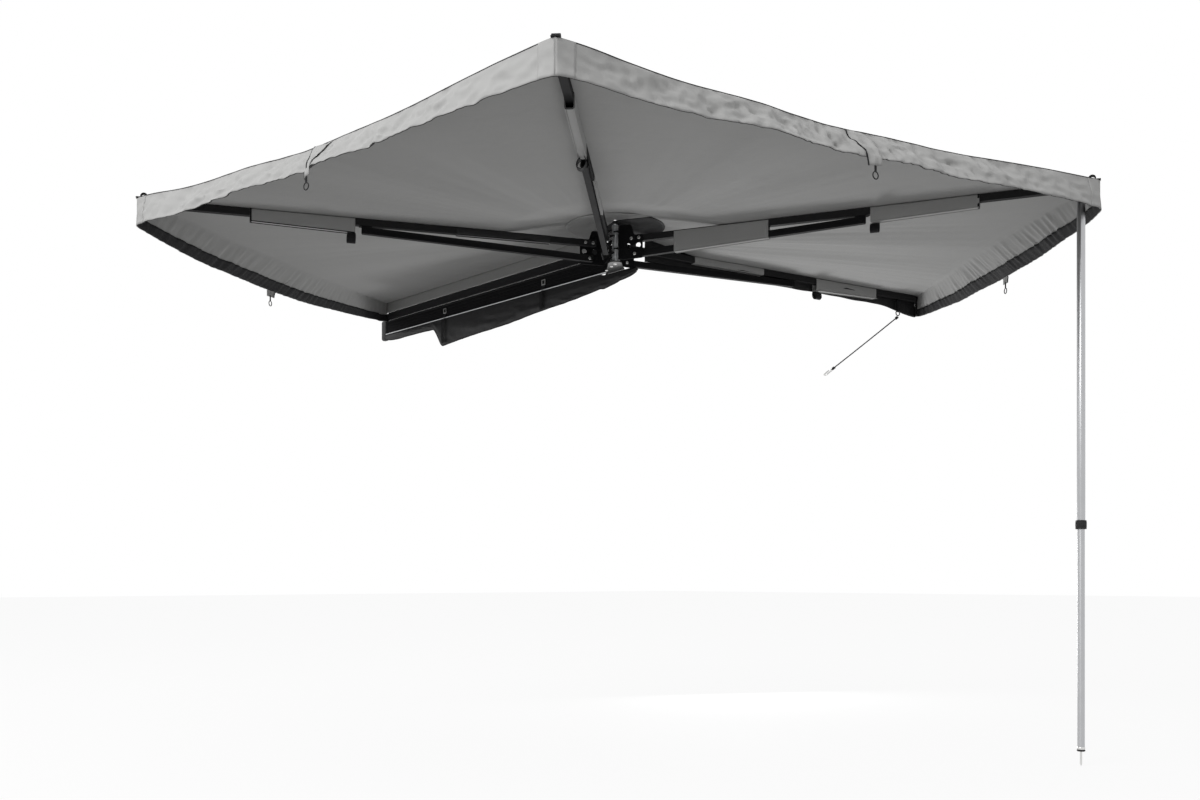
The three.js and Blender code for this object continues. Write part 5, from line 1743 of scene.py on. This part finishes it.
class AwningPole(bpy.types.Operator):
    """Finishes the drop-down pole and makes its grip, foot and spike"""

    bl_idname = "awning.pole"
    bl_label = "Pole"

    def execute(self, context):
        dress_node("pole_bracket", "black_metal")
        dress_node("pole_upper", "pole_metal")
        dress_node("pole_lower", "pole_metal")
        self.collar()
        self.foot()
        return {"FINISHED"}

    def collar(self):
        """The twist-lock collar with its grip grooves."""
        sizes = settings("hardware")
        low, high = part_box("pole_collar")
        radius = (high[0] - low[0]) / 2
        tall = high[2] - low[2]
        profile = [(COLLAR_BORE, 0.0, 0)]
        profile += [(radius - inside * MM, height * MM, grip) for inside, height, grip in COLLAR_FOOT]
        profile.append((radius - COLLAR_MIDDLE * MM, tall / 2, 1))
        profile += [(radius - inside * MM, tall - height * MM, grip) for inside, height, grip in COLLAR_TOP]
        profile.append((COLLAR_BORE, tall, 0))
        steps = sizes.grip_count * 4
        turns = np.arange(steps) * 2 * math.pi / steps
        grooves = sizes.grip_depth * (0.5 - 0.5 * np.cos(sizes.grip_count * turns))
        middle = (low + high) / 2
        rings = []
        for reach, height, grip in profile:
            here = reach - grooves * grip
            level = np.full(steps, low[2] + height)
            x, y = middle[0] + here * np.cos(turns), middle[1] + here * np.sin(turns)
            rings.append(np.stack([x, y, level], axis=1))
        shape = np.array(rings), tube_faces(len(rings), steps, joined_ends=True)
        add_piece("pole_collar_grip", shape, "black_plastic", "collar", nodes=["pole_collar"])

    def foot(self):
        """The foot disc, the pale ring above it and the ground spike."""
        low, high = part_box("pole_foot")
        centre = (low + high) / 2
        base = np.array([centre[0], centre[1], high[2]])
        spike = [(radius * MM, low[2] - high[2] + height * MM) for radius, height in FOOT_SPIKE]
        spike += [(spike[-1][0], SPIKE_TOP), (0, SPIKE_TOP)]
        disc = placed(lathe(MM * np.array(FOOT_DISC), 32), base)
        ring = placed(lathe(MM * np.array(END_RING), 32), base + UP * END_RING_LIFT)
        add_piece("pole_foot_disc", disc, "black_plastic", "pole_extension", nodes=["pole_foot"])
        add_zinc("pole_spike", [placed(lathe(spike, 20), base)], "pole_extension")
        add_zinc("pole_end_ring", [ring], "pole_extension")


ROPE_STEPS = 16
ROPE_LAY = 0.55
ROPE_RELIEF = (0.97, 0.05)
KNOT_START = 2 * MM
KNOT_RADIUS = 5.0 * MM
KNOT_ROPE = 2.0 * MM
KNOT_TURNS = 3.5
KNOT_LENGTHS = {"guy_ring_knot": 13 * MM, "guy_hook_knot": 15 * MM}

# Half of the guy loop's route: share of its half width, and height from its top or foot
LOOP_TOP = ((0.9, -MM), (1, -12 * MM))
LOOP_FOOT = (9 * MM, 1.0 * MM)
LOOP_WAIST = 0.8
LOOP_WEBBING = 1.8 * MM


class AwningGuyLine(bpy.types.Operator):
    """Runs the guy rope from its ring to its hook"""

    bl_idname = "awning.guy_line"
    bl_label = "Guy line"

    def execute(self, context):
        diameter = settings("hardware").rope
        route = [POST + np.array(point) for point in ROPE_ROUTE]
        path = smooth_path(route, 20)
        outline = circle(1.0, ROPE_STEPS)
        turns = np.arange(ROPE_STEPS) * 2 * math.pi / ROPE_STEPS

        def strands(i):
            relief = 0.5 * np.cos(4 * turns + ROPE_LAY * i) + 0.5 * np.cos(4 * turns - ROPE_LAY * i)
            return outline * (diameter / 2 * (ROPE_RELIEF[0] + ROPE_RELIEF[1] * relief))[:, None]

        shape = sweep(path, strands)
        rope = add_piece("guy_rope_braid", shape, "black_rope", "arm_4", nodes=["guy_rope"], smooth=80)
        spliced = [
            self.knot("guy_ring_knot", route[0], route[1]), self.knot("guy_hook_knot", route[-1], route[-2]),
        ]
        dress_node("guy_hook", "zinc")
        self.loop()
        dress_node("guy_ring", "black_plastic")
        return {"FINISHED"}

    def knot(self, name, end, before):
        """A whipped knot: turns of rope around the rope's end."""
        axis = (before - end) / np.linalg.norm(before - end)
        side = np.cross(axis, UP)
        side /= np.linalg.norm(side)
        rise = np.cross(axis, side)
        turns = np.linspace(0, KNOT_TURNS * 2 * math.pi, 90)
        path = [
            end + axis * (KNOT_START + KNOT_LENGTHS[name] * t / turns[-1])
            + KNOT_RADIUS * (math.cos(t) * side + math.sin(t) * rise)
            for t in turns
        ]
        return add_piece(name, sweep(path, circle(KNOT_ROPE, 10), axis), "black_rope", "arm_4")

    def loop(self):
        """The webbing loop that the ring hangs in."""
        line = arm(LAST)
        shape = line.along("guy_loop")
        first, last = shape[:, 0].min(), shape[:, 0].max()
        top, bottom = shape[:, 2].max(), shape[:, 2].min()
        half = shape[:, 1].max() - MM
        down = [(half * share, top + height) for share, height in LOOP_TOP]
        down += [(half * LOOP_WAIST, (top + bottom) / 2), (half, bottom + LOOP_FOOT[0])]
        route = [*down, (0, bottom + LOOP_FOOT[1]), *[(-side, height) for side, height in down[::-1]]]
        curve = smooth_path([line.at((first + last) / 2, side, height) for side, height in route], 6)
        shape = ribbon(curve, last - first, LOOP_WEBBING, line.out)
        add_piece("guy_loop_webbing", shape, "black_webbing", "arm_4", nodes=["guy_loop"])


SENSOR_WIDTH = 36.0
CLIP_END = 200.0


class AwningCamera(bpy.types.Operator):
    """Sets the camera where the photograph was taken"""

    bl_idname = "awning.camera"
    bl_label = "Camera"

    def execute(self, context):
        stage = settings("stage")
        data = bpy.data.cameras.new("camera")
        data.sensor_width = SENSOR_WIDTH
        data.lens = stage.focal_pixels / stage.photo_width * SENSOR_WIDTH
        data.shift_y = (stage.horizon_pixel - stage.photo_height / 2) / stage.photo_width
        data.clip_end = CLIP_END
        camera = bpy.data.objects.new("camera", data)
        camera.location = stage.camera_place
        camera.rotation_euler = (math.pi / 2, 0, -stage.camera_yaw)
        context.scene.collection.objects.link(camera)
        context.scene.camera = camera
        return {"FINISHED"}


FLOOR_GAP = 0.5 * MM
FLOOR_MOTTLE = (0.01, 2.0, 0.9, 0.02)
FLOOR_ROUGHNESS = 0.9
FLOOR_GLOW_SHARE = 0.85
WHITE = (1, 1, 1, 1)

# Place, target and size of each light
KEY_LIGHT = ((-8.2, -1.8, 3.3), (-0.3, -1.0, -0.2), 5.0)
LOW_LIGHT = ((1.9, 0.3, -1.4), (0.7, -1.9, 0.0), 0.9)


class AwningStage(bpy.types.Operator):
    """Lays the floor and sets the studio light"""

    bl_idname = "awning.stage"
    bl_label = "Stage"

    def execute(self, context):
        stage = settings("stage")
        context.scene.view_settings.view_transform = "Standard"
        half = stage.floor_size / 2
        level = cad_box[0][2] - FLOOR_GAP
        centre = (cad_box[0] + cad_box[1]) / 2
        turns = ((-1, -1), (1, -1), (1, 1), (-1, 1))
        corners = [(centre[0] + x * half, centre[1] + y * half, level) for x, y in turns]
        add_mesh("floor", (corners, [[0, 1, 2, 3]]), self.floor_material())
        self.world(stage.sky)
        self.lamp("key_light", *KEY_LIGHT, stage.key_power)
        self.lamp("low_light", *LOW_LIGHT, stage.low_power)
        return {"FINISHED"}

    def floor_material(self):
        """Pale where it is seen, and darker to the light that it throws up under the canopy."""
        colours = settings("colours")
        floor, tree, shader = new_material("floor", colours.floor, FLOOR_ROUGHNESS)
        mottle(tree, shader, colours.floor, *FLOOR_MOTTLE)
        white = add_node(tree, "ShaderNodeEmission", Color=WHITE, Strength=1.0)
        pale = add_node(tree, "ShaderNodeMixShader", Fac=FLOOR_GLOW_SHARE)
        under = add_node(tree, "ShaderNodeBsdfDiffuse", Color=(*colours.floor_bounce, 1))
        mix = add_node(tree, "ShaderNodeMixShader", Fac=seen_rays(tree))
        tree.links.new(shader.outputs["BSDF"], pale.inputs[1])
        tree.links.new(white.outputs["Emission"], pale.inputs[2])
        tree.links.new(under.outputs["BSDF"], mix.inputs[1])
        tree.links.new(pale.outputs["Shader"], mix.inputs[2])
        tree.links.new(mix.outputs["Shader"], tree.nodes["Material Output"].inputs["Surface"])
        return floor

    def world(self, strength):
        """Even light, with a white background where it is seen."""
        world = bpy.data.worlds.new("studio")
        world.use_nodes = True
        bpy.context.scene.world = world
        tree = world.node_tree
        plain = tree.nodes["Background"]
        plain.inputs["Color"].default_value = WHITE
        plain.inputs["Strength"].default_value = strength
        white = add_node(tree, "ShaderNodeBackground", Color=WHITE, Strength=1.0)
        mix = add_node(tree, "ShaderNodeMixShader", Fac=seen_rays(tree))
        tree.links.new(plain.outputs["Background"], mix.inputs[1])
        tree.links.new(white.outputs["Background"], mix.inputs[2])
        tree.links.new(mix.outputs["Shader"], tree.nodes["World Output"].inputs["Surface"])

    def lamp(self, name, place, target, size, power):
        data = bpy.data.lights.new(name, "AREA")
        data.energy = power
        data.size = size
        lamp = bpy.data.objects.new(name, data)
        lamp.visible_camera = False
        lamp.location = place
        lamp.rotation_euler = (Vector(target) - Vector(place)).to_track_quat("-Z", "Y").to_euler()
        bpy.context.scene.collection.objects.link(lamp)


class AwningPanel(bpy.types.Panel):
    """Lists the awning's groups of pieces and their sizes"""

    bl_idname = "VIEW3D_PT_awning"
    bl_label = "Awning"
    bl_space_type = "VIEW_3D"
    bl_region_type = "UI"
    bl_category = "Awning"

    def draw(self, context):
        for operator in OPERATORS:
            self.layout.operator(operator.bl_idname)
        for name, group in GROUPS.items():
            box = self.layout.box()
            values = getattr(context.scene, name)
            for prop in group.__annotations__:
                box.prop(values, prop)


OPERATORS = (
    AwningCamera,
    AwningGuyLine,
    AwningCanopy,
    AwningCanopyTrim,
    AwningApex,
    AwningSleeves,
    AwningChannel,
    AwningKederStrip,
    AwningChannelBand,
    AwningEndFlap,
    AwningCoverBag,
    AwningHinge,
    AwningArms,
    AwningPole,
    AwningStage,
)


def register():
    for group in GROUPS.values():
        bpy.utils.register_class(group)
    for name, group in GROUPS.items():
        setattr(bpy.types.Scene, name, PointerProperty(type=group))
    for operator in OPERATORS:
        bpy.utils.register_class(operator)
    bpy.utils.register_class(AwningPanel)


def unregister():
    bpy.utils.unregister_class(AwningPanel)
    for operator in reversed(OPERATORS):
        bpy.utils.unregister_class(operator)
    for name in GROUPS:
        delattr(bpy.types.Scene, name)
    for group in reversed(list(GROUPS.values())):
        bpy.utils.unregister_class(group)


def main():
    register()
    for operator in OPERATORS:
        group, name = operator.bl_idname.split(".")
        getattr(getattr(bpy.ops, group), name)()


if __name__ == "__main__":
    main()
